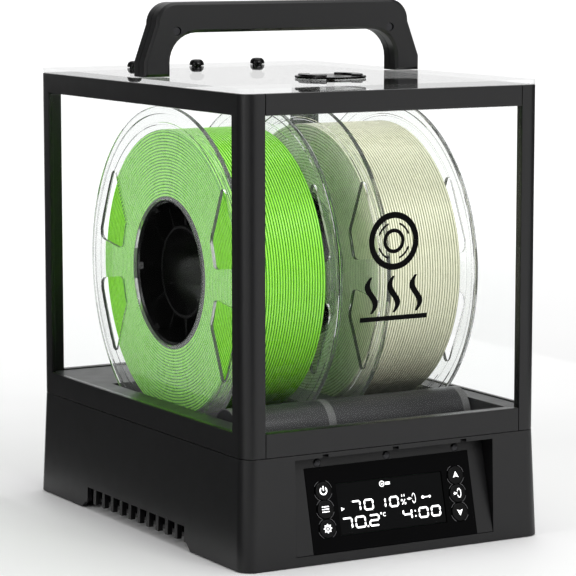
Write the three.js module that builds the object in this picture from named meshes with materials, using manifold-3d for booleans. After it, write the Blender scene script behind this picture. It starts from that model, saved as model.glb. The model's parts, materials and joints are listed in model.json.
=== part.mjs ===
// Filament dryer box: a heated base, a lift-off cover with clear windows, and two filament spools
// that lie on rollers. Millimetres, +Z up. The origin is the bottom centre, on the surface that the
// feet stand on. The display faces -Y, and +X is to the right of someone who reads it.
import * as THREE from 'three';
import { mergeVertices } from 'three/addons/utils/BufferGeometryUtils.js';
import Module from 'manifold-3d';

const wasm = await Module();
wasm.setup();

// ---------------------------------------------------------------- driving dimensions

const GAP = 0.3; // left between pieces that touch
const PAST = 5; // how far a cutting tool runs past the face it cuts

// How many flats stand for a round: arcs in outlines, small rods, other rods, and large rounds
const ARC_SEGMENTS = 3;
const SMALL_SEGMENTS = 12;
const ROUND_SEGMENTS = 16;
const LARGE_SEGMENTS = 24;
const SPOOL_SEGMENTS = 48;

// Box outline, shared by the base's top edge, the cover and the top plate
const HALF_X = 99;
const HALF_Y = 134;
const CORNER_R = 9;

// Heights
const SKIRT_BOTTOM_Z = 0.6;
const SEAM_Z = 64; // base below, cover above
const DECK_Z = 77.4; // glossy deck inside the cover
const WINDOW_Z = [78, 256];
const FRAME_TOP_Z = 268;
const PLATE_TOP_Z = 271;
const HANDLE_TOP_Z = 315;

// Base housing
const SKIRT_FLARE = 2.3; // each side, from the seam down to the floor
const WALL = 3;
const SHELF_Z = 61; // underside of the rim that carries the deck and the cover
const SHELF_HALF_X = 92.3;
const SHELF_HALF_Y = 125.1;
const ARCH_HALF = 72; // half length of the raised stretch of each side's bottom edge
const ARCH_TOP_HALF = 67;
const ARCH_Z = 4.8;
const SIDE_SLOT = { count: 11, pitch: 12, width: 8.5, topZ: 14 };

// Display pocket: its floor leans back from the bottom edge of the front face
const LEAN = THREE.MathUtils.degToRad(13.7);
const DISPLAY_ORIGIN_Y = -136;
const DISPLAY_ORIGIN_Z = 5.9;
const POCKET_HALF_X = 67;
const POCKET_ROOF_Z = 61.3;
const BEZEL_T = 3;
const TUB_BACK = 6.3; // depth of the housing's own floor behind the bezel's face
const NOTCH = { xs: [-47, 0, 46.6], r: 2, depth: 1.8 };
const PANEL_HALF_X = 55.4;
const PANEL_TOP = 49.3;
const PANEL_T = 2.6;
const LCD = { halfX: 36, low: 9, high: 39, t: 2 };
const BOARD = { halfX: 54, low: 4.2, high: 47.5, t: 1.6 };
const BOARD_WINDOW = { halfX: 52, low: 5, high: 46 };
const KEY = { x: 45, r: 5.3, holeR: 5.6, proud: 0.6, capT: 2.6, stemR: 2, stemEnd: -4.6 };
const KEY_ROWS = { top: 35.6, middle: 25, bottom: 14 }; // distance up the leaning face
const SWITCH = { r: 2.5, h: 0.9 };
const SCREW = { headR: 2.4, shoulderR: 1.7, shoulder: 0.7, rise: 0.9, up: 52 };
const SCREW_XS = { left: -46.5, centre: 0, right: 47 };

// Deck tray
const DECK = { halfX: 95.2, halfY: 128, t: 2.4, skirtZ: 64.3, r: 6 };
const PAN = { halfX: 82.5, frontY: -112, backY: 76, floorZ: 50, t: 2.4 };
const LEDGE = { frontY: -124, z: 66.7 }; // shallow front part of the roller slot, over the display
const ROLLER_SLOT_BACK_Y = -58;
const SPOOL_WELL = { innerX: 12.5, halfY: 66 };
const AIR_SLOT = { count: 7, pitch: 14, width: 5, y: [86, 118] };

// Spools: centre line, flanges, winding and hub
const SPOOL = { x: 47, z: 153.7, halfWidth: 32, r: 100, flangeBoreR: 43.5, flangeT: 3 };
const WINDING = { innerR: 46, outerR: 86 };
const HUB = { outerR: 45.5, wall: 3, boreR: 26, sleeveR: 29, ribs: 6, ribT: 3, seat: 1 };
const FLANGE_WINDOW = { innerR: 60, outerR: 91, from: 8, to: 38 }; // degrees above and below Y

// Rollers and drive
const FRONT_ROLLER = { r: 14.7, y: -77, z: 68.3, halfX: 80, shaftR: 3 };
const REAR_ROLLER = { r: 7.7, y: 60, z: 63.9, halfX: 80, shaftR: 3 };
const BUSH = { innerR: 3.3, outerR: 6.4, t: 3 };
const GEAR = { module: 0.8, rollerTeeth: 14, motorTeeth: 30, x: [85.6, 88.4], boreSegments: 8 };
const TOOTH = { addendum: 0.8, dedendum: 1.25 }; // in modules
const PRESSURE_ANGLE = THREE.MathUtils.degToRad(20);
const BACKLASH = 0.3;
const MOTOR = { r: 13, x: [88.8, 96], shaftR: 2.5 };

// Warm air unit, in the rear of the base
const FAN = { half: 30, y: 94, z: [20, 35], boreR: 28.3, hubR: 10, strutT: 2, seat: 1 };
const BLADE = { count: 7, rootR: 8, tipR: 26.3, t: 1.2, h: 12, tilt: 40 };
const HEATER = { halfX: 30, y: [83, 124], z: [35.3, 62], fins: 9, finT: 1.4, spineT: 4 };

// Bottom plate and feet
const BOTTOM = { z: [5, 7.4], halfX: 95, y: [-128.8, 131] };
const INTAKE = { count: 7, pitch: 8, width: 4, y: [68, 120] };
const FOOT = { r: 9, x: 80, y: 108 };
const FAN_POST = { r: 2.5, x: 26, y: [68, 120], rootInset: 1 };
const INLET = { x: 60, z: 23, half: 7, frontY: 122, faceY: 135.2, boreR: 3.5, boreDepth: 10 };

// Cover
const POST_X = 85.6; // front and back windows end here
const POST_Y = 119; // side windows end here
const SIDE_WALL = 3;
const FRONT_WALL = 5.5;
const PANE_T = 2.2;
const PANE_INSET = 0.8;

// Handle
const HANDLE = { halfY: 8, legX: 95.5, legInnerX: 78.5, shoulderZ: 280, topArcR: 13, bevel: 1.6 };
const HANDLE_SLOPE_TOP = { x: 87.5, z: 301.5 };
const GRIP = { undersideZ: 297, arcR: 17.5 };
const HANDLE_SCREW = { x: 74, z: 298, holeR: 2.6, r: 2.3, y: [-7, -3.5], holeEnd: -3 };
const HANDLE_ARC_SEGMENTS = 4;

// Fittings on the top plate
const OUTLET = { xs: { left: -44.5, centre: 0, right: 44.5 }, y: 107, boreR: 2.1, stemR: 3.1 };
const OUTLET_HOLE_R = 3.4;
const OUTLET_STEM_Z = 266;
const OUTLET_DOME = [[4.65, 0], [4.65, 1], [4.2, 2.4], [3.2, 3.4], [2.1, 3.7]]; // radius, rise
const VENT = { y: -60, r: 21, rise: 1.2, pinR: 2.5, pinHoleR: 2.8, pinZ: 266.5, segments: 32 };
const VENT_LOBE = { innerR: 13, outerR: 19, rise: 1.1, halfSpread: 50 }; // degrees of arc
const VENT_HOLE = { innerR: 6, outerR: 12, count: 4, spread: 32 }; // degrees of arc each

// ---------------------------------------------------------------- materials

function plastic(color, roughness) {
  return () => new THREE.MeshStandardMaterial({ color, roughness, flatShading: true });
}

function clear(color, opacity) {
  const settings = { color, roughness: 0.05, opacity, transparent: true, flatShading: true };
  return () => new THREE.MeshStandardMaterial(settings);
}

function metal(color, roughness) {
  return () => new THREE.MeshStandardMaterial({ color, roughness, metalness: 1, flatShading: true });
}

const BODY_BLACK = plastic('#2a2a2c', 0.45);
const DECK_BLACK = plastic('#1d1d1f', 0.15);
const GLOSS_BLACK = plastic('#0a0a0b', 0.08);
const LCD_BLACK = plastic('#16181a', 0.2);
const KEY_BLACK = plastic('#121214', 0.3);
const ROLLER_BLACK = plastic('#202022', 0.18);
const RUBBER_BLACK = plastic('#151515', 0.9);
const GEAR_WHITE = plastic('#e8e6df', 0.5);
const BOARD_GREEN = plastic('#1f5a35', 0.5);
const FAN_BLACK = plastic('#1a1a1a', 0.5);
const HUB_BLACK = plastic('#17181a', 0.4);
const FILAMENT_GREEN = plastic('#5fc62c', 0.35);
const FILAMENT_CREAM = plastic('#e3dfc6', 0.4);
const CLEAR_ACRYLIC = clear('#f4f8f8', 0.2);
const CLEAR_FLANGE = clear('#eef3f0', 0.25);
const STEEL = metal('#b9bcc0', 0.3);
const BLACK_STEEL = metal('#2c2c2e', 0.35);
const ALUMINIUM = metal('#c9ccd0', 0.4);

// ---------------------------------------------------------------- solids from three.js geometry

const AXIS_FRAMES = {
  x: new THREE.Matrix4().makeBasis(
    new THREE.Vector3(0, 1, 0), new THREE.Vector3(0, 0, 1), new THREE.Vector3(1, 0, 0)),
  y: new THREE.Matrix4().makeBasis(
    new THREE.Vector3(0, 0, 1), new THREE.Vector3(1, 0, 0), new THREE.Vector3(0, 1, 0)),
  z: new THREE.Matrix4(),
};

function signedVolume(positions, triangles) {
  const [a, b, c] = [new THREE.Vector3(), new THREE.Vector3(), new THREE.Vector3()];
  let volume = 0;
  for (let i = 0; i < triangles.length; i += 3) {
    a.fromArray(positions, triangles[i] * 3);
    b.fromArray(positions, triangles[i + 1] * 3);
    c.fromArray(positions, triangles[i + 2] * 3);
    volume += a.dot(b.cross(c)) / 6;
  }
  return volume;
}

// A manifold-3d solid from any closed geometry, with its faces turned outward.
function solid(geometry) {
  const bare = geometry.clone();
  bare.deleteAttribute('normal');
  bare.deleteAttribute('uv');
  const merged = mergeVertices(bare, 1e-4);
  const vertProperties = Float32Array.from(merged.attributes.position.array);
  const triVerts = Uint32Array.from(merged.index.array);
  if (signedVolume(vertProperties, triVerts) < 0) triVerts.reverse();
  return new wasm.Manifold(new wasm.Mesh({ numProp: 3, vertProperties, triVerts }));
}

function geometryOf(body) {
  const mesh = body.getMesh();
  const geometry = new THREE.BufferGeometry();
  geometry.setAttribute('position', new THREE.BufferAttribute(mesh.vertProperties, 3));
  geometry.setIndex(new THREE.BufferAttribute(mesh.triVerts, 1));
  return geometry;
}

const join = (...bodies) => bodies.reduce((sum, body) => sum.add(body));
const cut = (body, ...tools) => tools.reduce((rest, tool) => rest.subtract(tool), body);

function block([x0, x1], [y0, y1], [z0, z1]) {
  const geometry = new THREE.BoxGeometry(x1 - x0, y1 - y0, z1 - z0);
  geometry.translate((x0 + x1) / 2, (y0 + y1) / 2, (z0 + z1) / 2);
  return solid(geometry);
}

// Extrudes a shape along an axis. Along x the shape's own x and y are Y and Z; along y they are
// Z and X; along z they are X and Y.
function extrude(shape, axis, [from, to], curveSegments = ARC_SEGMENTS) {
  const settings = { depth: to - from, bevelEnabled: false, curveSegments };
  const geometry = new THREE.ExtrudeGeometry(shape, settings);
  geometry.translate(0, 0, from);
  geometry.applyMatrix4(AXIS_FRAMES[axis]);
  return solid(geometry);
}

// Turns a closed outline of [radius, distance along the axis] pairs about an axis.
function turn(outline, axis, segments) {
  const points = outline.map(([radius, along]) => new THREE.Vector2(radius, along));
  if (outline[0][0] > 0) points.push(points[0].clone());
  const geometry = new THREE.LatheGeometry(points, segments);
  geometry.rotateX(Math.PI / 2);
  geometry.applyMatrix4(AXIS_FRAMES[axis]);
  return solid(geometry);
}

function rod(axis, radius, [from, to], at = [0, 0, 0], segments = ROUND_SEGMENTS) {
  const outline = [[0, from], [radius, from], [radius, to], [0, to]];
  return turn(outline, axis, segments).translate(at);
}

function ring(axis, innerR, outerR, [from, to], at = [0, 0, 0], segments = ROUND_SEGMENTS) {
  const outline = [[innerR, from], [outerR, from], [outerR, to], [innerR, to]];
  return turn(outline, axis, segments).translate(at);
}

function polygon(points) {
  return new THREE.Shape(points.map(([x, y]) => new THREE.Vector2(x, y)));
}

function roundedRect(halfX, halfY, r) {
  const shape = new THREE.Shape();
  shape.absarc(halfX - r, halfY - r, r, 0, Math.PI / 2);
  shape.absarc(r - halfX, halfY - r, r, Math.PI / 2, Math.PI);
  shape.absarc(r - halfX, r - halfY, r, Math.PI, 1.5 * Math.PI);
  shape.absarc(halfX - r, r - halfY, r, 1.5 * Math.PI, 2 * Math.PI);
  return shape;
}

// A piece of a ring between two angles, in degrees.
function sector(innerR, outerR, fromDeg, toDeg) {
  const from = THREE.MathUtils.degToRad(fromDeg);
  const to = THREE.MathUtils.degToRad(toDeg);
  const shape = new THREE.Shape();
  shape.absarc(0, 0, outerR, from, to, false);
  shape.absarc(0, 0, innerR, to, from, true);
  return shape;
}

// A box whose outline grows from one level to the next.
function taperedBox([lowX, lowY, lowZ], [highX, highY, highZ], r) {
  const geometry = new THREE.ExtrudeGeometry(roundedRect(highX, highY, r), {
    depth: highZ - lowZ, bevelEnabled: false, curveSegments: ARC_SEGMENTS,
  });
  const position = geometry.attributes.position;
  for (let i = 0; i < position.count; i += 1) {
    const below = 1 - position.getZ(i) / (highZ - lowZ);
    position.setX(i, position.getX(i) + Math.sign(position.getX(i)) * (lowX - highX) * below);
    position.setY(i, position.getY(i) + Math.sign(position.getY(i)) * (lowY - highY) * below);
    position.setZ(i, position.getZ(i) + lowZ);
  }
  return solid(geometry);
}

function evenly(count, pitch) {
  return Array.from({ length: count }, (_, i) => (i - (count - 1) / 2) * pitch);
}

// ---------------------------------------------------------------- scene helpers

const dryer = new THREE.Group();
const display = new THREE.Group(); // x to the right, y up the leaning face, z out of it
display.position.set(0, DISPLAY_ORIGIN_Y, DISPLAY_ORIGIN_Z);
display.rotation.x = Math.PI / 2 - LEAN;
dryer.add(display);

function addPart(name, body, material, parent = dryer) {
  const mesh = new THREE.Mesh(geometryOf(body), material());
  mesh.name = name;
  parent.add(mesh);
}

// ---------------------------------------------------------------- base housing

// Y of the leaning plane that lies `out` from the display's face, at height z.
function leaningY(out, z) {
  const up = (z - DISPLAY_ORIGIN_Z - out * Math.sin(LEAN)) / Math.cos(LEAN);
  return DISPLAY_ORIGIN_Y + up * Math.sin(LEAN) - out * Math.cos(LEAN);
}

function housingShell() {
  const flareAt = (z) => SKIRT_FLARE * (1 - z / SEAM_Z);
  const low = flareAt(SKIRT_BOTTOM_Z);
  const outer = taperedBox(
    [HALF_X + low, HALF_Y + low, SKIRT_BOTTOM_Z], [HALF_X, HALF_Y, SEAM_Z], CORNER_R);
  const inner = taperedBox(
    [HALF_X + low - WALL, HALF_Y + low - WALL, SKIRT_BOTTOM_Z - PAST],
    [HALF_X - WALL, HALF_Y - WALL, SHELF_Z], CORNER_R - WALL);
  const mouth = extrude(
    roundedRect(SHELF_HALF_X, SHELF_HALF_Y, CORNER_R - WALL), 'z', [SHELF_Z - PAST, SEAM_Z + PAST]);
  return { outer, shell: cut(outer, inner, mouth) };
}

// The thick front of the housing that the leaning display sits in.
function displayTub(outer) {
  const profile = polygon([
    [DISPLAY_ORIGIN_Y - PAST, SKIRT_BOTTOM_Z],
    [leaningY(-TUB_BACK, DISPLAY_ORIGIN_Z), SKIRT_BOTTOM_Z],
    [leaningY(-TUB_BACK, DISPLAY_ORIGIN_Z), DISPLAY_ORIGIN_Z],
    [leaningY(-TUB_BACK, SEAM_Z), SEAM_Z],
    [DISPLAY_ORIGIN_Y - PAST, SEAM_Z],
  ]);
  const tub = extrude(profile, 'x', [-POCKET_HALF_X - WALL, POCKET_HALF_X + WALL]);
  return tub.intersect(outer);
}

function displayPocket() {
  const seat = -BEZEL_T - GAP;
  const profile = polygon([
    [DISPLAY_ORIGIN_Y - PAST, DISPLAY_ORIGIN_Z],
    [leaningY(seat, DISPLAY_ORIGIN_Z), DISPLAY_ORIGIN_Z],
    [leaningY(seat, POCKET_ROOF_Z), POCKET_ROOF_Z],
    [DISPLAY_ORIGIN_Y - PAST, POCKET_ROOF_Z],
  ]);
  const window = block(
    [-BOARD_WINDOW.halfX, BOARD_WINDOW.halfX],
    [BOARD_WINDOW.low, BOARD_WINDOW.high],
    [-TUB_BACK - PAST, 0]);
  const leaningWindow = window
    .rotate([90 - THREE.MathUtils.radToDeg(LEAN), 0, 0])
    .translate([0, DISPLAY_ORIGIN_Y, DISPLAY_ORIGIN_Z]);
  const notches = NOTCH.xs.map((x) => block(
    [x - NOTCH.r, x + NOTCH.r],
    [DISPLAY_ORIGIN_Y - PAST, leaningY(seat, POCKET_ROOF_Z) - NOTCH.r],
    [POCKET_ROOF_Z - PAST, POCKET_ROOF_Z + NOTCH.depth]));
  const pocket = extrude(profile, 'x', [-POCKET_HALF_X, POCKET_HALF_X]);
  return join(pocket, leaningWindow, ...notches);
}

// The stretch of each side's bottom edge that stands clear of the floor, and the slots above it.
function sideVents() {
  const arch = extrude(polygon([
    [-ARCH_HALF, SKIRT_BOTTOM_Z - PAST],
    [ARCH_HALF, SKIRT_BOTTOM_Z - PAST],
    [ARCH_HALF, SKIRT_BOTTOM_Z],
    [ARCH_TOP_HALF, ARCH_Z],
    [-ARCH_TOP_HALF, ARCH_Z],
    [-ARCH_HALF, SKIRT_BOTTOM_Z],
  ]), 'x', [-HALF_X - PAST, HALF_X + PAST]);
  const slots = evenly(SIDE_SLOT.count, SIDE_SLOT.pitch).map((y) => block(
    [-HALF_X - PAST, HALF_X + PAST],
    [y - SIDE_SLOT.width / 2, y + SIDE_SLOT.width / 2],
    [0, SIDE_SLOT.topZ]));
  return join(arch, ...slots);
}

function inletHole() {
  const half = INLET.half + GAP;
  return block(
    [INLET.x - half, INLET.x + half],
    [HALF_Y - WALL - PAST, HALF_Y + PAST],
    [INLET.z - half, INLET.z + half]);
}

// The rim is cut back where the motor sits beside it.
function motorRelief() {
  const reach = MOTOR.r + GAP;
  return block(
    [MOTOR.x[0] - GAP, MOTOR.x[1] + GAP],
    [FRONT_ROLLER.y - reach, FRONT_ROLLER.y + reach],
    [SHELF_Z - PAST, SEAM_Z + PAST]);
}

function buildHousing() {
  const { outer, shell } = housingShell();
  const body = join(shell, displayTub(outer));
  const housing = cut(body, displayPocket(), sideVents(), inletHole(), motorRelief());
  addPart('base_housing', housing, BODY_BLACK);
}

// ---------------------------------------------------------------- display and keys

// Distance up the leaning face at height z, for a point that lies `out` from the face.
function upAt(out, z) {
  return (z - DISPLAY_ORIGIN_Z - out * Math.sin(LEAN)) / Math.cos(LEAN);
}

// A plate on the leaning face: level bottom edge, and either a level or a square top edge.
function leaningPlate(halfX, outs, topOf) {
  const [back, front] = outs;
  const floorZ = DISPLAY_ORIGIN_Z + GAP;
  const profile = polygon([
    [upAt(front, floorZ), front],
    [topOf(front), front],
    [topOf(back), back],
    [upAt(back, floorZ), back],
  ]);
  return extrude(profile, 'x', [-halfX, halfX]);
}

function buildDisplay() {
  const levelTop = (out) => upAt(out, POCKET_ROOF_Z - GAP);
  const plate = leaningPlate(POCKET_HALF_X - GAP, [-BEZEL_T, 0], levelTop);
  const panelGap = block(
    [-PANEL_HALF_X - GAP, PANEL_HALF_X + GAP], [-PAST, PANEL_TOP + GAP], [-PAST, PAST]);
  const screwHoles = Object.values(SCREW_XS).map(
    (x) => rod('z', SCREW.headR - GAP, [-PAST, PAST], [x, SCREW.up, 0]));
  addPart('display_bezel', cut(plate, panelGap, ...screwHoles), BODY_BLACK, display);

  for (const [side, x] of Object.entries(SCREW_XS)) {
    const outline = [
      [0, -BEZEL_T], [SCREW.headR - 2 * GAP, -BEZEL_T], [SCREW.headR - 2 * GAP, GAP],
      [SCREW.headR, GAP], [SCREW.shoulderR, GAP + SCREW.shoulder], [0, GAP + SCREW.rise],
    ];
    const screw = turn(outline, 'z', ROUND_SEGMENTS).translate([x, SCREW.up, 0]);
    addPart(`display_screw_${side}`, screw, BLACK_STEEL, display);
  }

  const keySpots = [-KEY.x, KEY.x].flatMap((x) => Object.values(KEY_ROWS).map((up) => [x, up]));
  const face = leaningPlate(PANEL_HALF_X, [-PANEL_T, 0], () => PANEL_TOP);
  const lcdHole = block([-LCD.halfX, LCD.halfX], [LCD.low, LCD.high], [-PAST, PAST]);
  const keyHoles = keySpots.map(([x, up]) => rod('z', KEY.holeR, [-PAST, PAST], [x, up, 0]));
  addPart('display_panel', cut(face, lcdHole, ...keyHoles), GLOSS_BLACK, display);

  const lcd = block(
    [GAP - LCD.halfX, LCD.halfX - GAP], [LCD.low + GAP, LCD.high - GAP], [-PANEL_T, LCD.t - PANEL_T]);
  addPart('lcd_screen', lcd, LCD_BLACK, display);

  const boardTop = -TUB_BACK - GAP;
  const board = block(
    [-BOARD.halfX, BOARD.halfX], [BOARD.low, BOARD.high], [boardTop - BOARD.t, boardTop]);
  const switches = keySpots.map(
    ([x, up]) => rod('z', SWITCH.r, [boardTop - GAP, boardTop + SWITCH.h], [x, up, 0], SMALL_SEGMENTS));
  addPart('control_board', join(board, ...switches), BOARD_GREEN, display);
}

function buildKeys() {
  const keys = {
    key_power: [-KEY.x, KEY_ROWS.top],
    key_menu: [-KEY.x, KEY_ROWS.middle],
    key_settings: [-KEY.x, KEY_ROWS.bottom],
    key_up: [KEY.x, KEY_ROWS.top],
    key_rotate: [KEY.x, KEY_ROWS.middle],
    key_down: [KEY.x, KEY_ROWS.bottom],
  };
  const capBack = KEY.proud - KEY.capT;
  const outline = [
    [0, KEY.stemEnd], [KEY.stemR, KEY.stemEnd], [KEY.stemR, capBack],
    [KEY.r, capBack], [KEY.r, KEY.proud - GAP], [KEY.r - GAP, KEY.proud], [0, KEY.proud],
  ];
  for (const [name, [x, up]] of Object.entries(keys)) {
    addPart(name, turn(outline, 'z', ROUND_SEGMENTS).translate([x, up, 0]), KEY_BLACK, display);
  }
}

// ---------------------------------------------------------------- deck tray

function deckShell() {
  const top = extrude(roundedRect(DECK.halfX, DECK.halfY, DECK.r), 'z', [DECK.skirtZ, DECK_Z]);
  const hollow = extrude(
    roundedRect(DECK.halfX - DECK.t, DECK.halfY - DECK.t, DECK.r - DECK.t), 'z',
    [DECK.skirtZ - PAST, DECK_Z - DECK.t]);
  return cut(top, hollow);
}

function buildDeckTray() {
  const pan = block(
    [-PAN.halfX - PAN.t, PAN.halfX + PAN.t],
    [PAN.frontY - PAN.t, PAN.backY + PAN.t],
    [PAN.floorZ - PAN.t, DECK_Z - DECK.t / 2]);
  const ledge = block(
    [-PAN.halfX - PAN.t, PAN.halfX + PAN.t],
    [LEDGE.frontY - PAN.t, PAN.frontY],
    [LEDGE.z - PAN.t, DECK_Z - DECK.t / 2]);
  const panHollow = block(
    [-PAN.halfX, PAN.halfX], [PAN.frontY, PAN.backY], [PAN.floorZ, DECK_Z - DECK.t]);
  const slot = block(
    [-PAN.halfX, PAN.halfX], [LEDGE.frontY, ROLLER_SLOT_BACK_Y], [LEDGE.z, DECK_Z + PAST]);
  const wells = [-1, 1].map((side) => block(
    [Math.min(side * SPOOL_WELL.innerX, side * PAN.halfX),
      Math.max(side * SPOOL_WELL.innerX, side * PAN.halfX)],
    [-SPOOL_WELL.halfY, SPOOL_WELL.halfY], [PAN.floorZ + PAST, DECK_Z + PAST]));
  const airSlots = evenly(AIR_SLOT.count, AIR_SLOT.pitch).map((x) => block(
    [x - AIR_SLOT.width / 2, x + AIR_SLOT.width / 2], AIR_SLOT.y, [DECK_Z - PAST, DECK_Z + PAST]));
  const bushHoles = [FRONT_ROLLER, REAR_ROLLER].map((roller) => rod(
    'x', BUSH.outerR + GAP, [-PAN.halfX - PAST, PAN.halfX + PAST], [0, roller.y, roller.z]));
  const tray = cut(
    join(deckShell(), pan, ledge), panHollow, slot, ...wells, ...airSlots, ...bushHoles);
  addPart('deck_tray', tray, DECK_BLACK);
}

// ---------------------------------------------------------------- rollers, bushes and drive

function buildRollers() {
  const rollers = { front: FRONT_ROLLER, rear: REAR_ROLLER };
  for (const [place, roller] of Object.entries(rollers)) {
    const shaftEnd = GEAR.x[1];
    const at = [0, roller.y, roller.z];
    const body = join(
      rod('x', roller.r, [-roller.halfX, roller.halfX], at, LARGE_SEGMENTS),
      rod('x', roller.shaftR, [-shaftEnd, shaftEnd], at));
    addPart(`${place}_roller`, body, ROLLER_BLACK);
    for (const [side, sign] of Object.entries({ left: -1, right: 1 })) {
      const middle = sign * (PAN.halfX + PAN.t / 2);
      const bush = ring(
        'x', BUSH.innerR, BUSH.outerR, [middle - BUSH.t / 2, middle + BUSH.t / 2], at);
      addPart(`bush_${place}_${side}`, bush, GEAR_WHITE);
    }
  }
}

// Involute teeth about the origin, with the first tooth at the given angle.
function gearShape(teeth, firstAngle, boreR) {
  const pitchR = teeth * GEAR.module / 2;
  const baseR = pitchR * Math.cos(PRESSURE_ANGLE);
  const tipR = pitchR + TOOTH.addendum * GEAR.module;
  const rootR = pitchR - TOOTH.dedendum * GEAR.module;
  const involute = (angle) => Math.tan(angle) - angle;
  const halfAtPitch = Math.PI / (2 * teeth) - BACKLASH / (2 * pitchR);
  const halfAngle = (r) => halfAtPitch + involute(PRESSURE_ANGLE)
    - involute(Math.acos(Math.min(1, baseR / r)));
  const flankRs = [rootR, pitchR, tipR];
  const points = [];
  for (let tooth = 0; tooth < teeth; tooth += 1) {
    const centre = firstAngle + tooth * 2 * Math.PI / teeth;
    const rising = flankRs.map((r) => [r, centre - halfAngle(r)]);
    const falling = flankRs.map((r) => [r, centre + halfAngle(r)]).reverse();
    for (const [r, angle] of [...rising, ...falling]) {
      points.push([r * Math.cos(angle), r * Math.sin(angle)]);
    }
  }
  const shape = polygon(points);
  shape.holes.push(new THREE.Path().absarc(0, 0, boreR, 0, 2 * Math.PI, true));
  return shape;
}

function buildDrive() {
  const centreDistance = (GEAR.rollerTeeth + GEAR.motorTeeth) * GEAR.module / 2;
  const motorZ = FRONT_ROLLER.z - centreDistance;
  const toothDown = -Math.PI / 2;
  const gapUp = Math.PI / 2 + Math.PI / GEAR.motorTeeth;
  const rollerGear = extrude(
    gearShape(GEAR.rollerTeeth, toothDown, FRONT_ROLLER.shaftR + GAP), 'x', GEAR.x,
    GEAR.boreSegments);
  addPart('roller_gear', rollerGear.translate([0, FRONT_ROLLER.y, FRONT_ROLLER.z]), GEAR_WHITE);
  const motorGear = extrude(
    gearShape(GEAR.motorTeeth, gapUp, MOTOR.shaftR + GAP), 'x', GEAR.x, GEAR.boreSegments);
  addPart('motor_gear', motorGear.translate([0, FRONT_ROLLER.y, motorZ]), GEAR_WHITE);
  const at = [0, FRONT_ROLLER.y, motorZ];
  const motor = join(
    rod('x', MOTOR.r, MOTOR.x, at, LARGE_SEGMENTS), rod('x', MOTOR.shaftR, [GEAR.x[0], MOTOR.x[1]], at));
  addPart('drive_motor', motor, STEEL);
}

// ---------------------------------------------------------------- warm air unit

function buildFan() {
  const [low, high] = FAN.z;
  const { strutT } = FAN;
  const centre = [0, FAN.y, 0];
  const side = [FAN.y - FAN.half, FAN.y + FAN.half];
  const hoop = cut(
    block([-FAN.half, FAN.half], side, FAN.z),
    rod('z', FAN.boreR, [low - PAST, high + PAST], centre, LARGE_SEGMENTS));
  const reach = FAN.half - FAN.seat;
  const strutX = block([-reach, reach], [FAN.y - strutT, FAN.y + strutT], [low, low + strutT]);
  const strutY = block([-strutT, strutT], [FAN.y - reach, FAN.y + reach], [low, low + strutT]);
  const seat = rod('z', FAN.hubR, [low, low + strutT], centre);
  addPart('fan_frame', join(hoop, strutX, strutY, seat), FAN_BLACK);

  const bladeMid = (low + strutT + high) / 2;
  const blades = evenly(BLADE.count, 360 / BLADE.count).map((angle) => block(
    [BLADE.rootR, BLADE.tipR], [-BLADE.t / 2, BLADE.t / 2], [-BLADE.h / 2, BLADE.h / 2])
    .rotate([BLADE.tilt, 0, 0]).rotate([0, 0, angle]).translate([0, FAN.y, bladeMid]));
  const hub = rod('z', FAN.hubR, [low + strutT + GAP, high - GAP], centre);
  addPart('fan_rotor', join(hub, ...blades), FAN_BLACK);
}

function buildHeater() {
  const spineY = (HEATER.y[0] + HEATER.y[1]) / 2;
  const width = [-HEATER.halfX, HEATER.halfX];
  const spine = block(width, [spineY - HEATER.spineT / 2, spineY + HEATER.spineT / 2], HEATER.z);
  const pitch = (2 * HEATER.halfX - HEATER.finT) / (HEATER.fins - 1);
  const fins = evenly(HEATER.fins, pitch).map((x) => block(
    [x - HEATER.finT / 2, x + HEATER.finT / 2], HEATER.y, HEATER.z));
  addPart('heater_core', join(spine, ...fins), ALUMINIUM);
}

// ---------------------------------------------------------------- bottom plate, feet, inlet

function buildUnderside() {
  const [nearY, farY] = BOTTOM.y;
  const plate = extrude(roundedRect(BOTTOM.halfX, (farY - nearY) / 2, CORNER_R), 'z', BOTTOM.z)
    .translate([0, (nearY + farY) / 2, 0]);
  const slots = evenly(INTAKE.count, INTAKE.pitch).map((x) => block(
    [x - INTAKE.width / 2, x + INTAKE.width / 2], INTAKE.y, [0, BOTTOM.z[1] + PAST]));
  const posts = [-FAN_POST.x, FAN_POST.x].flatMap((x) => FAN_POST.y.map((y) => rod(
    'z', FAN_POST.r, [BOTTOM.z[0] + FAN_POST.rootInset, FAN.z[0] - GAP], [x, y, 0], SMALL_SEGMENTS)));
  addPart('bottom_plate', join(cut(plate, ...slots), ...posts), BODY_BLACK);

  const corners = {
    front_left: [-FOOT.x, -FOOT.y],
    front_right: [FOOT.x, -FOOT.y],
    rear_left: [-FOOT.x, FOOT.y],
    rear_right: [FOOT.x, FOOT.y],
  };
  for (const [place, [x, y]] of Object.entries(corners)) {
    addPart(`foot_${place}`, rod('z', FOOT.r, [0, BOTTOM.z[0] - GAP], [x, y, 0]), RUBBER_BLACK);
  }
}

function buildInlet() {
  const body = block(
    [INLET.x - INLET.half, INLET.x + INLET.half],
    [INLET.frontY, INLET.faceY],
    [INLET.z - INLET.half, INLET.z + INLET.half]);
  const bore = rod(
    'y', INLET.boreR, [INLET.faceY - INLET.boreDepth, INLET.faceY + PAST], [INLET.x, 0, INLET.z]);
  addPart('power_inlet', cut(body, bore), FAN_BLACK);
}

// ---------------------------------------------------------------- cover frame and windows

function coverWall() {
  const height = [SEAM_Z + GAP, FRAME_TOP_Z];
  const outer = extrude(roundedRect(HALF_X, HALF_Y, CORNER_R), 'z', height);
  const inner = extrude(
    roundedRect(HALF_X - SIDE_WALL, HALF_Y - FRONT_WALL, CORNER_R - FRONT_WALL), 'z',
    [SEAM_Z - PAST, FRAME_TOP_Z + PAST]);
  return cut(outer, inner);
}

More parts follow.
